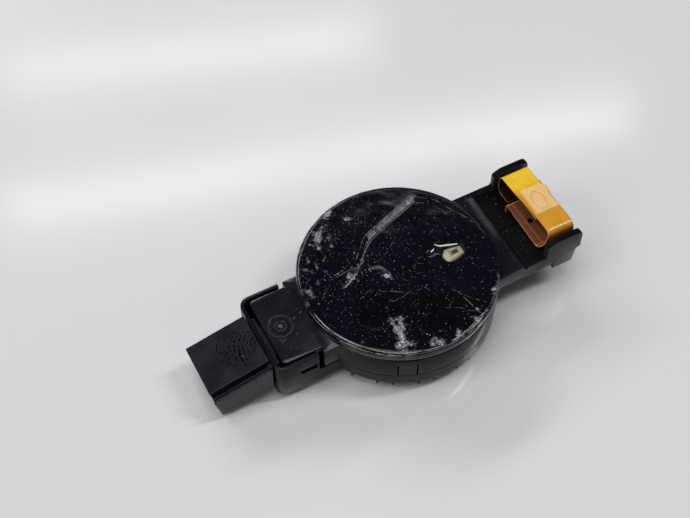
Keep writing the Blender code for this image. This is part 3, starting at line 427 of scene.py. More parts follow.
class Solid:
    """Closed forms gathered into one mesh, with a tone at each point."""

    def __init__(self):
        self.verts, self.faces, self.tone = [], [], []

    def loft(self, rings, tone=0.0, poles=None, endless=False):
        """Skin rings of equally many points. The ends are closed flat, or on two poles."""
        base, count = len(self.verts), len(rings[0])
        tones = tone if isinstance(tone, list) else [tone] * len(rings)
        for ring, value in zip(rings, tones):
            self.verts.extend(ring)
            self.tone.extend([value] * count)
        for k in range(len(rings) if endless else len(rings) - 1):
            a, b = base + k * count, base + (k + 1) % len(rings) * count
            for j in range(count):
                n = (j + 1) % count
                self.faces.append((a + j, a + n, b + n, b + j))
        ends = [range(first, first + count) for first in (base, base + (len(rings) - 1) * count)]
        if poles:
            for pole, end, value in zip(poles, ends, (tones[0], tones[-1])):
                self.faces += [(len(self.verts), a, b) for a, b in zip(end, (*end[1:], end[0]))]
                self.verts.append(pole)
                self.tone.append(value)
        elif not endless:
            self.faces += [tuple(end) for end in ends]
        return self

    def turned(self, centre, profile, steps, tone=0.0):
        """A turned solid about a vertical axis, from (radius, height) points."""
        angles = [TURN * k / steps for k in range(steps)]
        rings = [[(centre[0] + r * cos(a), centre[1] + r * sin(a), z) for a in angles]
                 for r, z in profile]
        poles = [(centre[0], centre[1], profile[end][1]) for end in (0, -1)]
        return self.loft(rings, tone, poles)

    def block(self, centre, half, turn, low, high, inset):
        """A small box with chamfered top edges, turned about the vertical."""
        c, s = cos(turn), sin(turn)
        rings = []
        for z, back in ((low, 0.0), (high - inset, 0.0), (high, inset)):
            corners = [(sx * (half[0] - back), sy * (half[1] - back))
                       for sx, sy in ((-1, -1), (1, -1), (1, 1), (-1, 1))]
            rings.append([(centre[0] + x * c - y * s, centre[1] + x * s + y * c, z)
                          for x, y in corners])
        return self.loft(rings)

    def chip(self, rng, centre, size, tone=None):
        """A small irregular chip, flatter than it is wide. Its tone is drawn if none is given."""
        x, y, z = centre
        turn = rng.uniform(0, TURN)
        ring = []
        for k in range(4):
            angle = turn + pi / 2 * k + rng.uniform(-0.35, 0.35)
            reach = size * rng.uniform(0.5, 1.15)
            ring.append((x + reach * cos(angle), y + reach * sin(angle),
                         z + size * rng.uniform(-0.12, 0.12)))
        peak = (x, y, z + size * rng.uniform(0.25, 0.5))
        if tone is None:
            tone = rng.random() ** 1.6
        self.loft([ring], tone, (peak, (x, y, z - size * 0.3)))

    def hair(self, rng, path, width, light, longest=14):
        """A low ridge along a path, broken where a scratch skips."""
        k = 0
        while k < len(path) - 3:
            run = rng.randint(3, longest)
            stretch = path[k:k + run]
            k += run + rng.randint(0, 3)
            if len(stretch) < 3:
                continue
            tone = max(0.05, min(1.0, light * rng.uniform(0.5, 1.5)))
            rings = []
            for j, (point, across) in enumerate(zip(stretch, sideways(stretch))):
                taper = sin(pi * (j + 0.6) / (len(stretch) + 0.2))
                half = width * rng.uniform(0.5, 1.2) * taper
                rings.append([point + across * half, point + UP * (half * 0.8 + 0.01),
                              point - across * half, point - UP * 0.04])
            self.loft(rings, tone)


def sideways(path):
    """Level unit vectors across a path, one for each of its points."""
    ahead = [b - a for a, b in zip(path[:1] + path[:-1], path[1:] + path[-1:])]
    return [Vector((-v.y, v.x, 0.0)).normalized() for v in ahead]


def link(name, data):
    obj = bpy.data.objects.new(name, data)
    bpy.context.scene.collection.objects.link(obj)
    return obj


def add_piece(name, solid, materials, layers=None, blend=None, flat=False):
    """A piece that rides on the sensor, or, when a blend is given, stays where it is made; the
    blend's two ends are not used.
    """
    mesh = bpy.data.meshes.new(name)
    mesh.from_pydata([Vector(v) * MM for v in solid.verts], [], solid.faces)
    for material in materials:
        mesh.materials.append(material)
    for key, values in (layers or {}).items():
        mesh.attributes.new(key, 'FLOAT', 'POINT').data.foreach_set("value", values)
    mesh.validate()
    shell = bmesh.new()
    shell.from_mesh(mesh)
    bmesh.ops.recalc_face_normals(shell, faces=shell.faces)
    shell.to_mesh(mesh)
    shell.free()
    if flat:
        mesh.shade_flat()
    else:
        mesh.shade_smooth()
    obj = link(name, mesh)
    if blend is None:
        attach(obj, SENSOR)
    else:
        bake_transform(obj)
    return obj


def smooth_path(points, step, z=0.0):
    """Level Catmull-Rom curve through given points of the plan, sampled every step."""
    knots = [Vector((*p, z)) for p in points]
    knots = [2 * knots[0] - knots[1]] + knots + [2 * knots[-1] - knots[-2]]
    path = []
    for a, b, c, d in zip(knots, knots[1:], knots[2:], knots[3:]):
        count = max(2, int((c - b).length / step))
        for k in range(count):
            t = k / count
            path.append(0.5 * (2 * b + (c - a) * t + (2 * a - 5 * b + 4 * c - d) * t * t
                               + (3 * b - a - 3 * c + d) * t ** 3))
    path.append(knots[-2])
    return path


def segment_distance(x, y, path):
    """Distance from a path, and the side of it: positive on its left."""
    best, side = 1e9, 0.0
    for a, b in zip(path, path[1:]):
        dx, dy = b[0] - a[0], b[1] - a[1]
        t = max(0.0, min(1.0, ((x - a[0]) * dx + (y - a[1]) * dy) / (dx * dx + dy * dy + 1e-12)))
        ex, ey = x - a[0] - t * dx, y - a[1] - t * dy
        d = ex * ex + ey * ey
        if d < best:
            best, side = d, dx * ey - dy * ex
    return sqrt(best), copysign(1.0, side)


def inside_polygon(x, y, polygon):
    inside = False
    for (ax, ay), (bx, by) in zip(polygon, polygon[1:] + polygon[:1]):
        if (ay > y) != (by > y) and x < (bx - ax) * (y - ay) / (by - ay) + ax:
            inside = not inside
    return inside


def ripple(x, y, size, seed=0.0):
    """Smooth noise over the plan, about -1 to 1."""
    return noise.noise(Vector((x / size, y / size, seed)))


def hump(distance, width):
    """1 on a line, falling off beside it."""
    return exp(-(distance / width) ** 2)


def between(value, low, high, at_low=0.0, at_high=1.0):
    """Smooth step from at_low to at_high as a value goes from low to high."""
    t = max(0.0, min(1.0, (value - low) / (high - low)))
    t = t * t * (3 - 2 * t)
    return at_low + (at_high - at_low) * t


def scattered(rng, radius, power=0.5):
    """A random place in a disc, as x and y. A power of a half spreads them evenly."""
    reach, angle = radius * rng.random() ** power, rng.uniform(0, TURN)
    return reach * cos(angle), reach * sin(angle)


# ---- gel pad

PAD_RINGS = 92
PAD_AROUND = 420
# Radius on which the rim's roughness is sampled
RIM_SAMPLE_R = 19.0

CUT = [(10.1, 12.2), (6.5, 10.8), (1.9, 9.3), (-2.1, 7.6), (-5.0, 5.1), (-6.4, 3.7),
       (-8.9, 3.8), (-11.3, 3.5)]
BRANCH = [(-6.6, 3.5), (-7.7, 2.4), (-10.1, 1.0), (-11.0, 0.7)]
CURL = [(-4.7, 2.0), (-3.3, 1.6), (-2.5, 0.0), (-2.4, -1.6)]
CUT_PATH = smooth_path(CUT, 0.5)
# The cut's lip is raised on its near side, as far as here
LIP_FROM_X = -1.8
# Shallower grooves and their depths
GROOVES = ((smooth_path(BRANCH, 0.5), 0.12), (smooth_path(CURL, 0.5), 0.16))

# The torn patch, a circle that holds it, and offsets that soften its outline
TEAR = [(-7.0, -2.2), (-5.4, -4.6), (0.3, -7.2), (5.4, -11.1), (5.4, -14.4), (1.3, -17.0),
        (-2.6, -13.9), (-5.7, -10.4), (-10.1, -10.3), (-12.4, -7.6), (-12.1, -4.7), (-9.7, -2.6)]
TEAR_XY = (-3.5, -8.7)
TEAR_R = 12.0
SOFT = [(0.0, 0.0), (0.5, 0.2), (-0.5, 0.3), (0.2, -0.5), (-0.2, 0.5), (0.4, -0.4)]

# Places where the gel is crumbled: (x, y, radius, strength)
CRUMBLED = [
    (-6.3, -11.8, 2.1, 1.0), (-7.6, -15.2, 1.9, 0.95), (-10.2, 12.6, 2.6, 0.85),
    (-6.0, 16.9, 1.8, 0.7), (-2.7, 14.2, 1.2, 0.7), (-3.0, -0.9, 0.9, 0.9),
    (-9.2, 2.2, 1.5, 0.75), (-5.2, 4.9, 1.2, 0.6), (-16.2, 2.4, 2.8, 0.5),
    (-14.2, 7.8, 2.3, 0.5), (7.9, -16.9, 1.9, 0.8), (13.3, -13.1, 1.4, 0.75),
    (-13.5, -11.6, 1.6, 0.35), (-1.8, -18.1, 2.0, 0.85), (2.6, -18.1, 1.8, 0.6),
]
# Chips of the rim: (azimuth, spread, strength), in degrees
RIM_CHIPS = [(-118.0, 16.0, 0.35), (-68.0, 14.0, 0.55), (-42.0, 10.0, 0.7), (112.0, 24.0, 0.6),
             (135.0, 12.0, 0.5), (172.0, 14.0, 0.3)]
# Scratches: (points, width, paleness)
SCRATCHES = [
    ([(11.2, 12.5), (13.5, 10.6), (14.4, 9.3), (15.7, 6.3), (17.2, 3.6), (17.9, 0.8),
      (18.2, -2.6), (17.7, -5.6), (16.8, -7.9)], 0.04, 0.35),
    ([(9.6, 11.6), (12.0, 10.4), (13.4, 8.4), (14.2, 6.0)], 0.03, 0.25),
    ([(7.0, -10.0), (7.6, -13.0), (8.0, -14.9), (8.4, -16.4)], 0.045, 0.45),
    ([(6.2, -9.0), (7.9, -11.6), (9.6, -13.6), (11.0, -15.0)], 0.03, 0.25),
    ([(-4.8, -6.4), (-2.8, -6.3), (-0.7, -5.9), (1.2, -6.4), (3.0, -6.0)], 0.03, 0.35),
    ([(10.4, 12.7), (6.7, 12.1), (1.9, 10.5), (-1.0, 9.6)], 0.06, 0.55),
    ([(-1.0, 9.6), (-2.6, 8.7), (-4.4, 6.9), (-6.2, 5.0)], 0.04, 0.3),
    (BRANCH[1:], 0.045, 0.5),
    (CURL, 0.04, 0.5),
    ([(2.0, 5.6), (0.4, 4.2), (-1.6, 3.2), (-3.9, 2.6)], 0.025, 0.25),
    ([(3.2, -12.0), (5.5, -13.2), (7.2, -14.9), (9.4, -15.8)], 0.03, 0.3),
    ([(-9.0, -3.0), (-7.2, -2.2), (-5.2, -3.6), (-3.2, -4.6), (0.2, -7.0)], 0.03, 0.3),
]
FINE_SCRATCHES = 16
# Pale lines round the pad's edge, painted highlights of its rounded rim: (tilt down the edge, first
# and last azimuth, width, paleness)
RIM_HIGHLIGHT_LINES = [(22.0, 186.0, 236.0, 0.075, 0.9), (60.0, 182.0, 244.0, 0.055, 0.7),
             (25.0, 232.0, 300.0, 0.06, 0.9), (48.0, 240.0, 288.0, 0.04, 0.6),
             (30.0, 300.0, 330.0, 0.05, 0.5), (35.0, 95.0, 140.0, 0.05, 0.5)]


def crumbled(x, y):
    """How torn the gel is, 0 to 1: ragged patches about the listed places."""
    most = 0.0
    for cx, cy, radius, strength in CRUMBLED:
        d = hypot(x - cx, y - cy) / radius
        if d < 1.6:
            most = max(most, strength * exp(-1.1 * d * d))
    if most < 0.05:
        return 0.0
    ragged = 0.75 * ripple(x, y, 1.5, 21.0) + 0.45 * ripple(x, y, 0.6, 22.0)
    return max(0.0, min(1.0, 2.2 * (most + ragged - 0.52)))


def chipped(azimuth):
    """How chipped the rim is at an azimuth in degrees."""
    turns = [(azimuth - centre + 180.0) % 360.0 - 180.0 for centre, _, _ in RIM_CHIPS]
    return max(strength * hump(turn, spread) for turn, (_, spread, strength) in zip(turns, RIM_CHIPS))


def pad_surface(x, y):
    """Height above the plain top, and how torn, hazy and olive the gel is there."""
    rise = 0.045 * ripple(x, y, 5.0) + 0.012 * ripple(x, y, 1.6, 3.0)
    wear = crumbled(x, y)
    haze = 0.25 * wear
    olive = 0.0
    near, side = segment_distance(x, y, CUT_PATH)
    if near < 1.6:
        rise -= 0.4 * hump(near, 0.11)
        if side < 0 and x > LIP_FROM_X:
            lip = hump(near - 0.6, 0.38)
            rise += 0.05 * lip
            wear = max(wear, 0.75 * lip * (0.7 + 0.9 * ripple(x, y, 0.8, 5.0)))
    for path, depth in GROOVES:
        close, _ = segment_distance(x, y, path)
        if close < 0.8:
            rise -= depth * hump(close, 0.16)
            wear = max(wear, 0.2 * hump(close - 0.2, 0.14))
    if hypot(x - TEAR_XY[0], y - TEAR_XY[1]) < TEAR_R:
        wx, wy = x + 0.7 * ripple(x, y, 1.7, 8.0), y + 0.7 * ripple(x, y, 1.7, 13.0)
        olive = sum(inside_polygon(wx + dx, wy + dy, TEAR) for dx, dy in SOFT) / len(SOFT)
        rise -= 0.04 * olive
    rise += wear * (0.1 * ripple(x, y, 0.55, 1.0) + 0.05 * ripple(x, y, 0.25, 2.0))
    return rise, min(1.0, wear), haze, olive


def gel_pad():
    """The pad: a top with relief, a rounded and chipped rim, and a plain side."""
    angles = [TURN * k / PAD_AROUND for k in range(PAD_AROUND)]
    rings, marks = [], []
    for step in range(1, PAD_RINGS + 1):
        radius = PAD_FLAT_R * step / PAD_RINGS
        ring = []
        for angle in angles:
            x, y = radius * cos(angle), radius * sin(angle)
            rise, *mark = pad_surface(x, y)
            ring.append((x, y, PAD_TOP + rise))
            marks.append(mark)
        rings.append(ring)
    flat_edge = rings[-1]
    tilts = [radians(90 - 15 * step) for step in range(1, 7)]
    profile = [(PAD_FLAT_R + PAD_EDGE * cos(t), PAD_TOP - PAD_EDGE + PAD_EDGE * sin(t))
               for t in tilts]
    profile += [(PAD_R + 0.03, PAD_TOP - 1.2), (PAD_R, PAD_TOP - 1.7),
                (PAD_R - 0.05, PAD_LOW.z + 0.25), (PAD_R - 0.25, PAD_LOW.z + 0.02)]
    for step, (radius, z) in enumerate(profile):
        ring = []
        for angle, (_, _, height) in zip(angles, flat_edge):
            c, s = cos(angle), sin(angle)
            chip = chipped(degrees(angle)) * (1.0 - step / len(profile))
            rough = ripple(c * RIM_SAMPLE_R, s * RIM_SAMPLE_R, 0.9, 4.0 + z * 0.3)
            slow = ripple(c * RIM_SAMPLE_R, s * RIM_SAMPLE_R, 3.2, 7.0)
            r = radius - max(-0.04, 0.03 * slow + chip * (0.18 + 0.5 * max(0.0, rough)))
            relief = (height - PAD_TOP) * max(0.0, 1.0 - step / 3)
            ring.append((r * c, r * s, z + relief - 0.1 * chip))
            marks.append((max(0.0, min(1.0, chip * (0.4 + 2.0 * rough))), 0.2 * chip, 0.0))
        rings.append(ring)
    poles = ((0.0, 0.0, PAD_TOP), (0.0, 0.0, PAD_LOW.z + 0.02))
    marks += [(0.0, 0.0, 0.0)] * len(poles)
    pad = add_piece("gel_pad", Solid().loft(rings, poles=poles), [gel()],
                    dict(zip(("wear", "haze", "olive"), zip(*marks))))
    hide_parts("coupling_pad")


def pad_crumbs():
    """Loose flakes and lint: all over the pad, along its worn left part, and where it is torn."""
    rng = random.Random(41)
    solid = Solid()

    def drop(x, y, size, light):
        out = hypot(x, y)
        if out <= PAD_R - 0.5:
            rise = pad_surface(x, y)[0] if out < PAD_FLAT_R else -0.1
            solid.chip(rng, (x, y, PAD_TOP + rise), size, light)

    for _ in range(560):
        x, y = scattered(rng, PAD_R)
        drop(x, y, rng.uniform(0.035, 0.09), rng.random() ** 1.3)
    for _ in range(700):
        x, y = scattered(rng, 1.0, 0.7)
        drop(-6.5 + 13.0 * x, 2.0 + 17.0 * y, rng.uniform(0.03, 0.075), rng.random())
    for cx, cy, radius, strength in CRUMBLED:
        for _ in range(int(150 * radius * strength)):
            x, y = (a + b for a, b in zip((cx, cy), scattered(rng, 1.5 * radius)))
            size, light, pick = rng.uniform(0.04, 0.13), rng.random() ** 0.9, rng.random()
            torn = crumbled(x, y)
            if pick < 0.04 + torn:
                drop(x, y, size * (1.0 + 1.3 * torn * rng.random()), light)
    material = crumbs("torn_gel", (0.06, 0.06, 0.07), (0.9, 0.91, 0.89))
    add_piece("gel_crumbs", solid, [material], {"tone": solid.tone}, flat=True)


def pad_scratches_and_rim_highlights():
    """The listed scratches, a few fine random ones, and pale lines round the rim that are painted
    highlights.
    """
    rng = random.Random(17)
    routes = list(SCRATCHES)
    for _ in range(FINE_SCRATCHES):
        x, y = scattered(rng, PAD_R - 2.0)
        turn, length = rng.uniform(0, TURN), rng.uniform(0.6, 2.4)
        dx, dy = length * cos(turn), length * sin(turn)
        bend = rng.uniform(-0.3, 0.3)
        middle = (x + dx / 2 - bend * dy, y + dy / 2 + bend * dx)
        routes.append(([(x, y), middle, (x + dx, y + dy)], 0.018, 0.18))
    solid = Solid()
    for points, width, light in routes:
        path = [p for p in smooth_path(points, 0.22) if hypot(p.x, p.y) < PAD_R - 0.9]
        for p in path:
            p.x += 0.05 * ripple(p.x, p.y, 0.6, 11.0)
            p.y += 0.05 * ripple(p.x, p.y, 0.6, 12.0)
            p.z = PAD_TOP + pad_surface(p.x, p.y)[0]
        if len(path) > 3:
            solid.hair(rng, path, width, light)
    # Painted highlights: pale broken ridges along the rounded rim
    for tilt, start, stop, width, light in RIM_HIGHLIGHT_LINES:
        reach = PAD_FLAT_R + PAD_EDGE * sin(radians(tilt))
        z = PAD_TOP - PAD_EDGE + PAD_EDGE * cos(radians(tilt))
        path = []
        for step in range(int((stop - start) * 1.5)):
            angle = radians(start + step / 1.5)
            out = reach + 0.05 * ripple(step, 0.0, 4.0, tilt)
            path.append(Vector((out * cos(angle), out * sin(angle), z)))
        solid.hair(rng, path, width, light, longest=42)
    material = crumbs("scratches_and_painted_rim_highlights", (0.03, 0.03, 0.035), (0.8, 0.81, 0.8))
    add_piece("gel_scratches_and_rim_highlights", solid, [material], {"tone": solid.tone})


# ---- light window

CHIP_TURN = radians(2.0)
CHIP_XY = ((CHIP_LOW.x + CHIP_HIGH.x) / 2 + 0.05, (CHIP_LOW.y + CHIP_HIGH.y) / 2 + 0.3)
CHIP_TOP = CHIP_HIGH.z + 0.15
CHIP_CHAMFER = 0.12
CHIP_OUTLINE = [(10.9, 1.15), (9.95, 0.2), (10.0, -1.65), (14.0, -0.85), (13.95, 0.6)]


def window_lens():
    """The light guide in the window: a smoked disc whose moulded rim catches the light."""
    top, low = WINDOW_HIGH.z, WINDOW_LOW.z
    profile = [(0.9, top - 0.02), (1.9, top - 0.05), (2.45, top - 0.02), (2.7, top),
               (2.82, top - 0.08), (WINDOW_R, top - 0.2), (WINDOW_R, low + 0.05),
               (WINDOW_R - 0.08, low)]
    lens = add_piece("window_lens", Solid().turned(WINDOW, profile, 48), [smoked_lens()])
    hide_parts("ambient_window")


def shrunk(outline, z, back=0.0, share=1.0):
    """An outline at a height, each corner drawn in to the middle by a length and a share."""
    middle = Vector((sum(x for x, _ in outline), sum(y for _, y in outline))) / len(outline)
    ring = []
    for corner in outline:
        arm = Vector(corner) - middle
        ring.append((*(middle + arm * (share - back / arm.length)), z))
    return ring


def light_chip():
    """Cream package with a recessed die and bond pads, seen through the window. It glows a little:
    painted light.
    """
    # Emission here is painted light: a faint glow that stands in for light falling through the gel
    # and window onto the package.
    cream_with_painted_glow = speckled("chip_cream", (0.5, 0.46, 0.3), (0.8, 0.74, 0.52), 0.9, (0.25, 0.4),
                     Emission_Color=(0.72, 0.66, 0.46, 1.0), Emission_Strength=0.36)
    levels = ((CHIP_LOW.z, 0.0), (CHIP_TOP - CHIP_CHAMFER, 0.0), (CHIP_TOP, CHIP_CHAMFER))
    solid = Solid().loft([shrunk(CHIP_OUTLINE, z, back) for z, back in levels])
    package = add_piece("chip_package", solid, [cream_with_painted_glow], flat=True)
    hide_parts("light_sensor_chip")
    resin = speckled("chip_die", (0.22, 0.08, 0.1), (0.48, 0.22, 0.24), 0.2, (0.15, 0.3))
    solid = Solid().block((CHIP_XY[0] + 0.2, CHIP_XY[1] + 0.05), (0.72, 0.44), CHIP_TURN,
                          CHIP_TOP - 0.02, CHIP_TOP + 0.06, 0.03)
    add_piece("chip_die_window", solid, [resin], flat=True)
    gold = speckled("bond_gold", (0.7, 0.48, 0.18), (0.85, 0.64, 0.3), 0.2, (0.2, 0.3), 1.0)
    solid = Solid()
    for k in range(5):
        row = Matrix.Rotation(CHIP_TURN, 2) @ Vector((-0.75, -0.55 + 0.27 * k))
        solid.block(Vector(CHIP_XY) + row, (0.16, 0.07), CHIP_TURN, CHIP_TOP - 0.02,
                    CHIP_TOP + 0.04, 0.02)
    add_piece("chip_bond_pads", solid, [gold], flat=True)


def painted_glint_fin(name, points, widths, z, rise, material):
    """A thin curved fin, round in section, whose colour is a painted glint."""
    path = smooth_path(points, 0.12, z)
    rings = []
    for j, (point, across) in enumerate(zip(path, sideways(path))):
        t = j / (len(path) - 1)
        half = widths[0] * (1 - t) + widths[1] * t
        half *= 0.25 + 0.75 * sin(pi * (0.06 + 0.88 * t))
        rings.append([point + across * half * cos(a) + UP * rise * sin(a)
                      for a in (TURN * k / 8 for k in range(8))])
    add_piece(name, Solid().loft(rings), [material])


def painted_window_glints():
    """Painted highlights of the light guide: white fins that glow a little, over the window and under
    the pad, and blue fins under the pad as a painted bluish reflection.
    """
    # White with a faint glow: a painted highlight, not a lamp.
    white = speckled("painted_glint_white", (0.8, 0.81, 0.8), (0.97, 0.97, 0.95), 0.4, (0.12, 0.25),
                     Emission_Color=(0.95, 0.95, 0.92, 1.0), Emission_Strength=0.6)
    # Bluish grey: a painted reflection.
    blue = speckled("painted_blue_glint", (0.055, 0.075, 0.095), (0.16, 0.2, 0.23), 0.5, (0.1, 0.3))
    gap_z = (TOP_Z + PAD_LOW.z) / 2
    for name, points, widths, z, rise, material in (
            ("painted_glint_edge", [(9.5, 2.75), (10.1, 2.0), (11.5, 1.45), (13.5, 0.75)], (0.17, 0.22),
             WINDOW_HIGH.z + 0.02, 0.06, white),
            ("painted_glint_foot", [(7.9, 1.35), (8.4, 1.5), (8.9, 1.75)], (0.13, 0.1), gap_z + 0.03,
             0.05, white),
            ("painted_blue_glint", [(6.9, 0.7), (7.6, 0.4), (8.5, 0.55), (9.2, 0.2)], (0.3, 0.22),
             gap_z - 0.01, 0.04, blue),
            ("painted_blue_glint_2", [(7.1, 1.6), (7.6, 1.9), (8.2, 2.1)], (0.16, 0.12), gap_z - 0.01,
             0.04, blue)):
        painted_glint_fin(name, points, widths, z, rise, material)


# ---- flex loop

FLEX_ACROSS = 30
FLEX_STEP = 0.28
FAR_TURN = 1.3


def arc(centre, radius, start, end, steps):
    """Points (y, z) on an arc, angles in degrees."""
    angles = [radians(start + (end - start) * k / steps) for k in range(steps + 1)]
    return [(centre[0] + radius * cos(a), centre[1] + radius * sin(a)) for a in angles]


def flex_route():
    """The strip's middle line as (y, z), from the slot in the deck, round the loop, to its end."""
    mid = FLEX_THICK / 2
    low, top = LOWER_LOW.z + mid, FLEX_HIGH.z - mid
    riser_y = LOWER_HIGH.y + 0.4
    near_r = (top - low) / 2
    near_y = NEAR_LOW.y + mid + near_r
    turn_y = FAR_HIGH.y - mid - FAR_TURN
    well = FAR_LOW.z + mid
    route = [(riser_y, low - 1.1), (riser_y, low - 0.5)]
    route += arc((riser_y - 0.45, low - 0.45), 0.45, 0, 90, 5)
    route += [(y, low) for y in (riser_y - 1.4, 0.5, -2.0, -4.4)]
    route += arc((near_y, low + near_r), near_r, 270, 90, 22)
    route += [(y, top) for y in (near_y + 1.5, -3.0, -1.0, 1.0, 3.2, 5.2)]
    route += arc((turn_y, top - FAR_TURN), FAR_TURN, 90, 0, 10)
    route += arc((turn_y, well + FAR_TURN), FAR_TURN, 0, -90, 10)
    return route + [(FAR_LOW.y + 0.1, well)]


def resampled(route, step):
    fine = []
    for (ay, az), (by, bz) in zip(route, route[1:]):
        count = max(1, round(hypot(by - ay, bz - az) / step))
        fine += [(ay + (by - ay) * k / count, az + (bz - az) * k / count) for k in range(count)]
    return fine + [route[-1]]


def flex_sides(y, upper, tab):
    """The strip's two edges in X, for a share of the way from the lower run to the upper one."""
    serrated = 0.05 * sin(y * 7.3) + 0.07 * ripple(y, 0.0, 0.5, 2.0)
    left_low = LOWER_LOW.x + 0.12 + 0.02 * y + serrated
    left = left_low * (1 - upper) + between(y, -6.6, 7.5, 28.15, 27.35) * upper
    right = LOWER_HIGH.x * (1 - upper) + between(y, -6.6, 5.9, 33.7, 33.3) * upper
    if tab:
        right += 0.5 * between(y, 0.75, 1.05) * between(y, 2.5, 2.8, 1.0, 0.0)
    return left, right


def contact_relief(x, y, t):
    """Bulge of the contact's face and its paleness. t runs from 0 to 1 across the strip."""
    oval = hypot((x - OVAL_XY[0]) / OVAL_RADII[0], (y - OVAL_XY[1]) / OVAL_RADII[1])
    pale = between(x, 28.3, 28.9) * between(y, -3.1, -2.7) * between(y, 3.0, 3.4, 1, 0)
    bulge = 0.055 * hump(oval - 0.95, 0.14) + 0.03 * pale + 0.02 * ripple(x, y, 2.5, 6.0)
    return bulge - 0.5 * max(0.0, abs(2 * t - 1) - 0.9), pale


def flex_loop():
    """One sprung strip of polyimide: lower run, near bend, contact face and far bend."""
    line = resampled(flex_route(), FLEX_STEP)
    count = len(line)
    length = [0.0]
    for (ay, az), (by, bz) in zip(line, line[1:]):
        length.append(length[-1] + hypot(by - ay, bz - az))
    low_z, top_z = LOWER_LOW.z, FLEX_HIGH.z
    near_bend = max(range(count), key=lambda k: -line[k][0] - abs(line[k][1] - (low_z + top_z) / 2))
    far_bend = max(k for k in range(count) if line[k][1] > top_z - FLEX_THICK)
    rings, marks = [], []
    for k, (y, z) in enumerate(line):
        (ay, az), (by, bz) = line[max(k - 1, 0)], line[min(k + 1, count - 1)]
        norm = hypot(by - ay, bz - az)
        # Outward is on the left of the direction of travel round the loop
        out = (-(bz - az) / norm, (by - ay) / norm)
        upper = between(length[k], length[near_bend] - 2.4, length[near_bend] + 2.4)
        left, right = flex_sides(y, upper, tab=upper > 0.99 and k < far_bend)
        # How much painted shade the strip takes low down, read from its height at rest
        painted_low_shade = between(z, top_z - 1.0, top_z - 0.25, 1.0, 0.0)
        row = []
        for j in range(FLEX_ACROSS + 1):
            t = j / FLEX_ACROSS
            x = left + (right - left) * t
            on_contact = upper > 0.9 and k <= far_bend
            row.append((x, *(contact_relief(x, y, t) if on_contact else (0.0, 0.0))))
        ring = []
        # Each ring goes along the outer face and comes back along the inner one
        for face, points in ((1.0, row), (-1.0, row[::-1])):
            for x, bulge, pale in points:
                shift = FLEX_THICK / 2 * face + bulge * 0.8
                ring.append((x, y + out[0] * shift, min(z + out[1] * shift, top_z + 0.05)))
                marks.append((length[k], x, float(face < 0), pale, painted_low_shade))
        rings.append(ring)
    start = Vector((OVAL_XY[0], 0.0, low_z + 0.6)) * MM
    end = Vector((OVAL_XY[0], 0.0, top_z - 0.5)) * MM
    film = polyimide(length[near_bend], length[far_bend])
    strip = add_piece("flex_strip", Solid().loft(rings), [film, cut_edge()],
                      dict(zip(("along", "across", "inner", "pale", "painted_low_shade"), zip(*marks))),
                      blend=(start, end))
    around = len(rings[0])
    for polygon in strip.data.polygons:
        on_edge = polygon.index % around in (FLEX_ACROSS, around - 1)
        polygon.material_index = int(on_edge or polygon.index >= around * (count - 1))
    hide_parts("flex_contact", "flex_near_bend", "flex_far_bend", "flex_lower")


# ---- marks and dust

MARK_XY = (-24.5, 0.05)
MARK_Z = TOP_Z - 0.03
MARK_SINK = 0.02
# Worn rings: (radius, width, height, seed)
MARK_RINGS = [(2.35, 0.2, 0.07, 1.0), (2.02, 0.1, 0.04, 4.0), (1.05, 0.24, 0.08, 7.0)]
MARK_HUB = [(0.12, 0.07), (0.3, 0.06), (0.44, 0.02), (0.5, -MARK_SINK)]
POINTER = [(-26.1, -2.55), (-24.5, -2.85), (-25.8, -4.0)]
# Dusty places: (X range, Y range, height, number of specks)
DUSTY = [((-27.0, -19.4), (-7.0, 7.0), MARK_Z, 70), ((19.3, 21.6), (-9.5, 9.5), TOP_Z, 55),
         ((22.8, 26.0), (-8.5, -1.0), TOP_Z, 18), ((22.6, 26.5), (0.8, 8.5), TOP_Z - 0.9, 16)]
SCORE = [(-22.0, 0.2), (-20.9, 0.75), (-19.6, 1.1)]


def worn_ring(solid, radius, width, height, seed):
    """A raised ring that is rubbed lower and paler in places."""
    rings, tones = [], []
    for k in range(64):
        c, s = cos(TURN * k / 64), sin(TURN * k / 64)
        worn = max(0.15, 0.75 + 0.9 * noise.noise(Vector((c * 1.4, s * 1.4, seed))))
        ring = []
        for across, up in ((-0.5, 0.0), (-0.22, 1.0), (0.22, 1.0), (0.5, 0.0)):
            r = radius + across * width
            ring.append((MARK_XY[0] + r * c, MARK_XY[1] + r * s,
                         MARK_Z - MARK_SINK + up * height * worn))
        rings.append(ring)
        tones.append(min(1.0, 0.5 * worn))
    solid.loft(rings, tones, endless=True)


def date_mark():
    """A plain moulder's clock: rings, a worn hub and a pointer, with no figures."""
    solid = Solid()
    for ring in MARK_RINGS:
        worn_ring(solid, *ring)
    solid.turned(MARK_XY, [(radius, MARK_Z + up) for radius, up in MARK_HUB], 20, tone=0.8)
    add_piece("date_mark", solid, [worn_mark()], {"tone": solid.tone})
    dark = speckled("pointer_black", (0.002, 0.002, 0.003), (0.006, 0.006, 0.008), 0.4, (0.2, 0.4))
    solid = Solid().loft([shrunk(POINTER, MARK_Z - MARK_SINK),
                          shrunk(POINTER, MARK_Z + 0.05, share=0.86)])
    add_piece("date_pointer", solid, [dark], flat=True)


def housing_dust():
    """Lint and specks on the flat tops of the housing, and one scored line by the mark."""
    rng = random.Random(5)
    solid = Solid()
    for xs, ys, z, count in DUSTY:
        for _ in range(count):
            solid.chip(rng, (rng.uniform(*xs), rng.uniform(*ys), z + 0.01), rng.uniform(0.02, 0.075))
    solid.hair(rng, smooth_path(SCORE, 0.2, TOP_Z), 0.05, 0.5)
    lint = crumbs("lint", (0.05, 0.05, 0.055), (0.6, 0.6, 0.59))
    add_piece("housing_dust", solid, [lint], {"tone": solid.tone}, flat=True)


# ---- carried-over CAD nodes

WELD = 0.002
SHARP_ANGLE = radians(32.0)
BEVEL_ANGLE = radians(40.0)


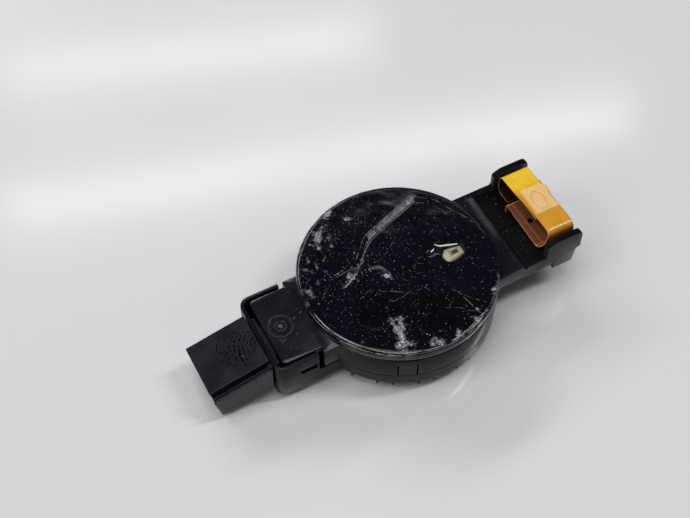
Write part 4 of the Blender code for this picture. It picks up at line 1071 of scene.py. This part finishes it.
def soft_shading():
    """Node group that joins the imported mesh's split points and smooths all but real edges."""
    group = bpy.data.node_groups.new("soft_shading", 'GeometryNodeTree')
    for way in ('INPUT', 'OUTPUT'):
        group.interface.new_socket("Geometry", in_out=way, socket_type='NodeSocketGeometry')
    nodes, links = group.nodes, group.links
    merge = nodes.new("GeometryNodeMergeByDistance")
    merge.inputs["Distance"].default_value = WELD * MM
    drop = nodes.new("GeometryNodeRemoveAttribute")
    drop.inputs["Name"].default_value = "custom_normal"
    faces, edges = (nodes.new("GeometryNodeSetShadeSmooth") for _ in range(2))
    faces.domain = 'FACE'
    edges.domain = 'EDGE'
    chain = (nodes.new("NodeGroupInput"), merge, drop, faces, edges, nodes.new("NodeGroupOutput"))
    for before, after in zip(chain, chain[1:]):
        links.new(before.outputs["Geometry"], after.inputs["Geometry"])
    angle = nodes.new("GeometryNodeInputMeshEdgeAngle")
    compare = nodes.new("FunctionNodeCompare")
    compare.operation = 'LESS_EQUAL'
    compare.inputs[1].default_value = SHARP_ANGLE
    links.new(angle.outputs["Unsigned Angle"], compare.inputs[0])
    links.new(compare.outputs[0], edges.inputs["Shade Smooth"])
    return group


def dress(node, material, group, bevel=0.0):
    """Give a CAD node its material and shading, and soften its edges by a bevel."""
    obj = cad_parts[node]
    obj.data.materials.clear()
    obj.data.materials.append(material)
    obj.modifiers.new("soft_shading", 'NODES').node_group = group
    if bevel > 0.0:
        edge = obj.modifiers.new("edge", 'BEVEL')
        edge.width = bevel * MM
        edge.segments = 2
        edge.limit_method = 'ANGLE'
        edge.angle_limit = BEVEL_ANGLE
        edge.harden_normals = False
        obj.modifiers.new("weighted", 'WEIGHTED_NORMAL').keep_sharp = True


# Two-toned materials: (name, two tones, grain size, roughness, CAD nodes)
METALS = [
    ("tin", (0.58, 0.57, 0.54), (0.8, 0.79, 0.76), 0.6, (0.18, 0.36),
     [f"terminal_pin_{k}" for k in (1, 2, 3)]),
    ("can_metal", (0.55, 0.56, 0.57), (0.76, 0.77, 0.78), 0.8, (0.22, 0.38),
     ["capacitor_1", "capacitor_2"]),
]
PLASTICS = [
    ("matte_black", (0.01, 0.01, 0.011), (0.026, 0.026, 0.028), 1.2, (0.5, 0.65),
     ["light_barrier", "terminal_carrier"]),
    ("chip_epoxy", (0.012, 0.012, 0.013), (0.03, 0.03, 0.031), 0.3, (0.4, 0.6),
     ["humidity_temperature_chip", "microcontroller", "bus_transceiver", "inductor"]),
    ("diode_resin", (0.03, 0.02, 0.04), (0.07, 0.05, 0.09), 0.6, (0.08, 0.2),
     [f"{kind}_{k}" for kind in ("infrared_emitter", "photodiode") for k in (1, 2)]),
    ("socket_ivory", (0.62, 0.58, 0.48), (0.8, 0.77, 0.68), 0.8, (0.38, 0.5), ["flex_socket"]),
    ("stiffener_resin", (0.5, 0.3, 0.1), (0.74, 0.52, 0.24), 0.7, (0.3, 0.45),
     ["contact_stiffener"]),
    ("tail_film", (0.5, 0.21, 0.03), (0.72, 0.36, 0.06), 1.5, (0.22, 0.36), ["flex_tail"]),
]


def dress_cad():
    """Materials for every CAD node that stays."""
    group = soft_shading()
    for metallic, looks in ((1.0, METALS), (0.0, PLASTICS)):
        for *look, nodes in looks:
            material = speckled(*look, metallic)
            for node in nodes:
                dress(node, material, group)
    dress("lens_plate", speckled("lens_plastic", (0.25, 0.28, 0.33), (0.45, 0.48, 0.52), 3.0,
                                 (0.05, 0.14), Alpha=0.45), group)
    dress("lower_housing", moulded("satin_plastic", (0.0022, 0.0021, 0.0044),
                                   (0.0045, 0.0043, 0.0082), (0.17, 0.27), sheen=0.2), group)
    dress("arm_cover", moulded("cover_plastic", (0.016, 0.016, 0.0165), (0.023, 0.023, 0.0235),
                               (0.36, 0.48), grain=0.006), group)
    dress("main_board", circuit_green(), group)
    dress("upper_housing", upper_plastic(), group)
    dress("connector_shroud", shroud_plastic(), group, bevel=0.12)


# ---- surroundings

FLOOR_REACH = 2600.0
LAMP_Z = 1400
TUBE_WIDTH = 70.0
# Tube lamps that streak the floor: (name, first end, second end, radiance)
TUBES = [("tube_far", (87, 1514, LAMP_Z), (721, 1287, LAMP_Z), 4.2),
         ("tube_near", (-12, 1222, LAMP_Z), (1021, 917, LAMP_Z), 4.2)]
# Soft boxes aimed at the origin: (name, place, size, radiance)
BOXES = [("overhead", (-250, 0, 1500), (1000, 1000), 2.65),
         ("key_left", (-1150, 150, 1130), (500, 500), 5.0),
         ("lamp_right", (780, -225, 1260), (110, 600), 27.0),
         ("back_row", (-260, 1560, 1050), (1700, 220), 12.0),
         ("window_left", (-1300, -480, 760), (260, 140), 16.0),
         ("window_front", (90, -1350, 760), (300, 90), 12.0)]
CAMERA_PLACE = (-68.09, -109.919, 201.742)
CAMERA_YAW = 27.39779
CAMERA_PITCH = 55.29403
CAMERA_ROLL = 0.49067
CAMERA_LENS = 64.0424


def floor():
    s = Shader("bench_top", Specular_IOR_Level=1.0)
    cloud = s.noise(160.0, detail=2.0)
    s.set(Base_Color=s.mix(cloud, (0.74, 0.74, 0.755), (0.79, 0.79, 0.8)))
    s.set(Roughness=s.fit(s.noise(30.0), 0.3, 0.7, 0.11, 0.14))
    reach = FLOOR_REACH * MM
    mesh = bpy.data.meshes.new("bench")
    mesh.from_pydata([(-reach, -reach, 0.0), (reach, -reach, 0.0), (reach, reach, 0.0),
                      (-reach, reach, 0.0)], [], [(0, 1, 2, 3)])
    mesh.materials.append(s.material)
    link("bench", mesh)


def area_light(name, place, size, radiance, turn):
    """A rectangular light of a given size and radiance, turned by a quaternion."""
    data = bpy.data.lights.new(name, 'AREA')
    data.shape = 'RECTANGLE'
    data.size, data.size_y = size[0] * MM, size[1] * MM
    data.energy = radiance * pi * data.size * data.size_y
    lamp = link(name, data)
    lamp.location = place * MM
    lamp.rotation_mode = 'QUATERNION'
    lamp.rotation_quaternion = turn


def lights():
    for name, first, second, radiance in TUBES:
        first, second = Vector(first), Vector(second)
        run = second - first
        area_light(name, (first + second) / 2, (run.length, TUBE_WIDTH), radiance,
                   Matrix.Rotation(atan2(run.y, run.x), 4, 'Z').to_quaternion())
    for name, place, size, radiance in BOXES:
        area_light(name, Vector(place), size, radiance, (-Vector(place)).to_track_quat('-Z', 'Y'))
    world = bpy.data.worlds.new("studio")
    world.use_nodes = True
    background = world.node_tree.nodes["Background"]
    background.inputs["Color"].default_value = (0.93, 0.95, 1.0, 1.0)
    background.inputs["Strength"].default_value = 0.05
    bpy.context.scene.world = world


def camera():
    """The camera looks along Y, then turns right by the yaw and down by the pitch."""
    data = bpy.data.cameras.new("camera")
    data.lens = CAMERA_LENS
    data.sensor_width = 36.0
    data.clip_start = 0.005
    data.clip_end = 20.0
    view = link("camera", data)
    view.matrix_world = (Matrix.Translation(Vector(CAMERA_PLACE) * MM)
                         @ Matrix.Rotation(radians(-CAMERA_YAW), 4, 'Z')
                         @ Matrix.Rotation(radians(90.0 - CAMERA_PITCH), 4, 'X')
                         @ Matrix.Rotation(radians(-CAMERA_ROLL), 4, 'Z'))
    bpy.context.scene.camera = view
    bpy.context.scene.view_settings.view_transform = 'Standard'


dress_cad()
gel_pad()
pad_crumbs()
pad_scratches_and_rim_highlights()
window_lens()
light_chip()
painted_window_glints()
flex_loop()
date_mark()
housing_dust()
floor()
lights()
camera()
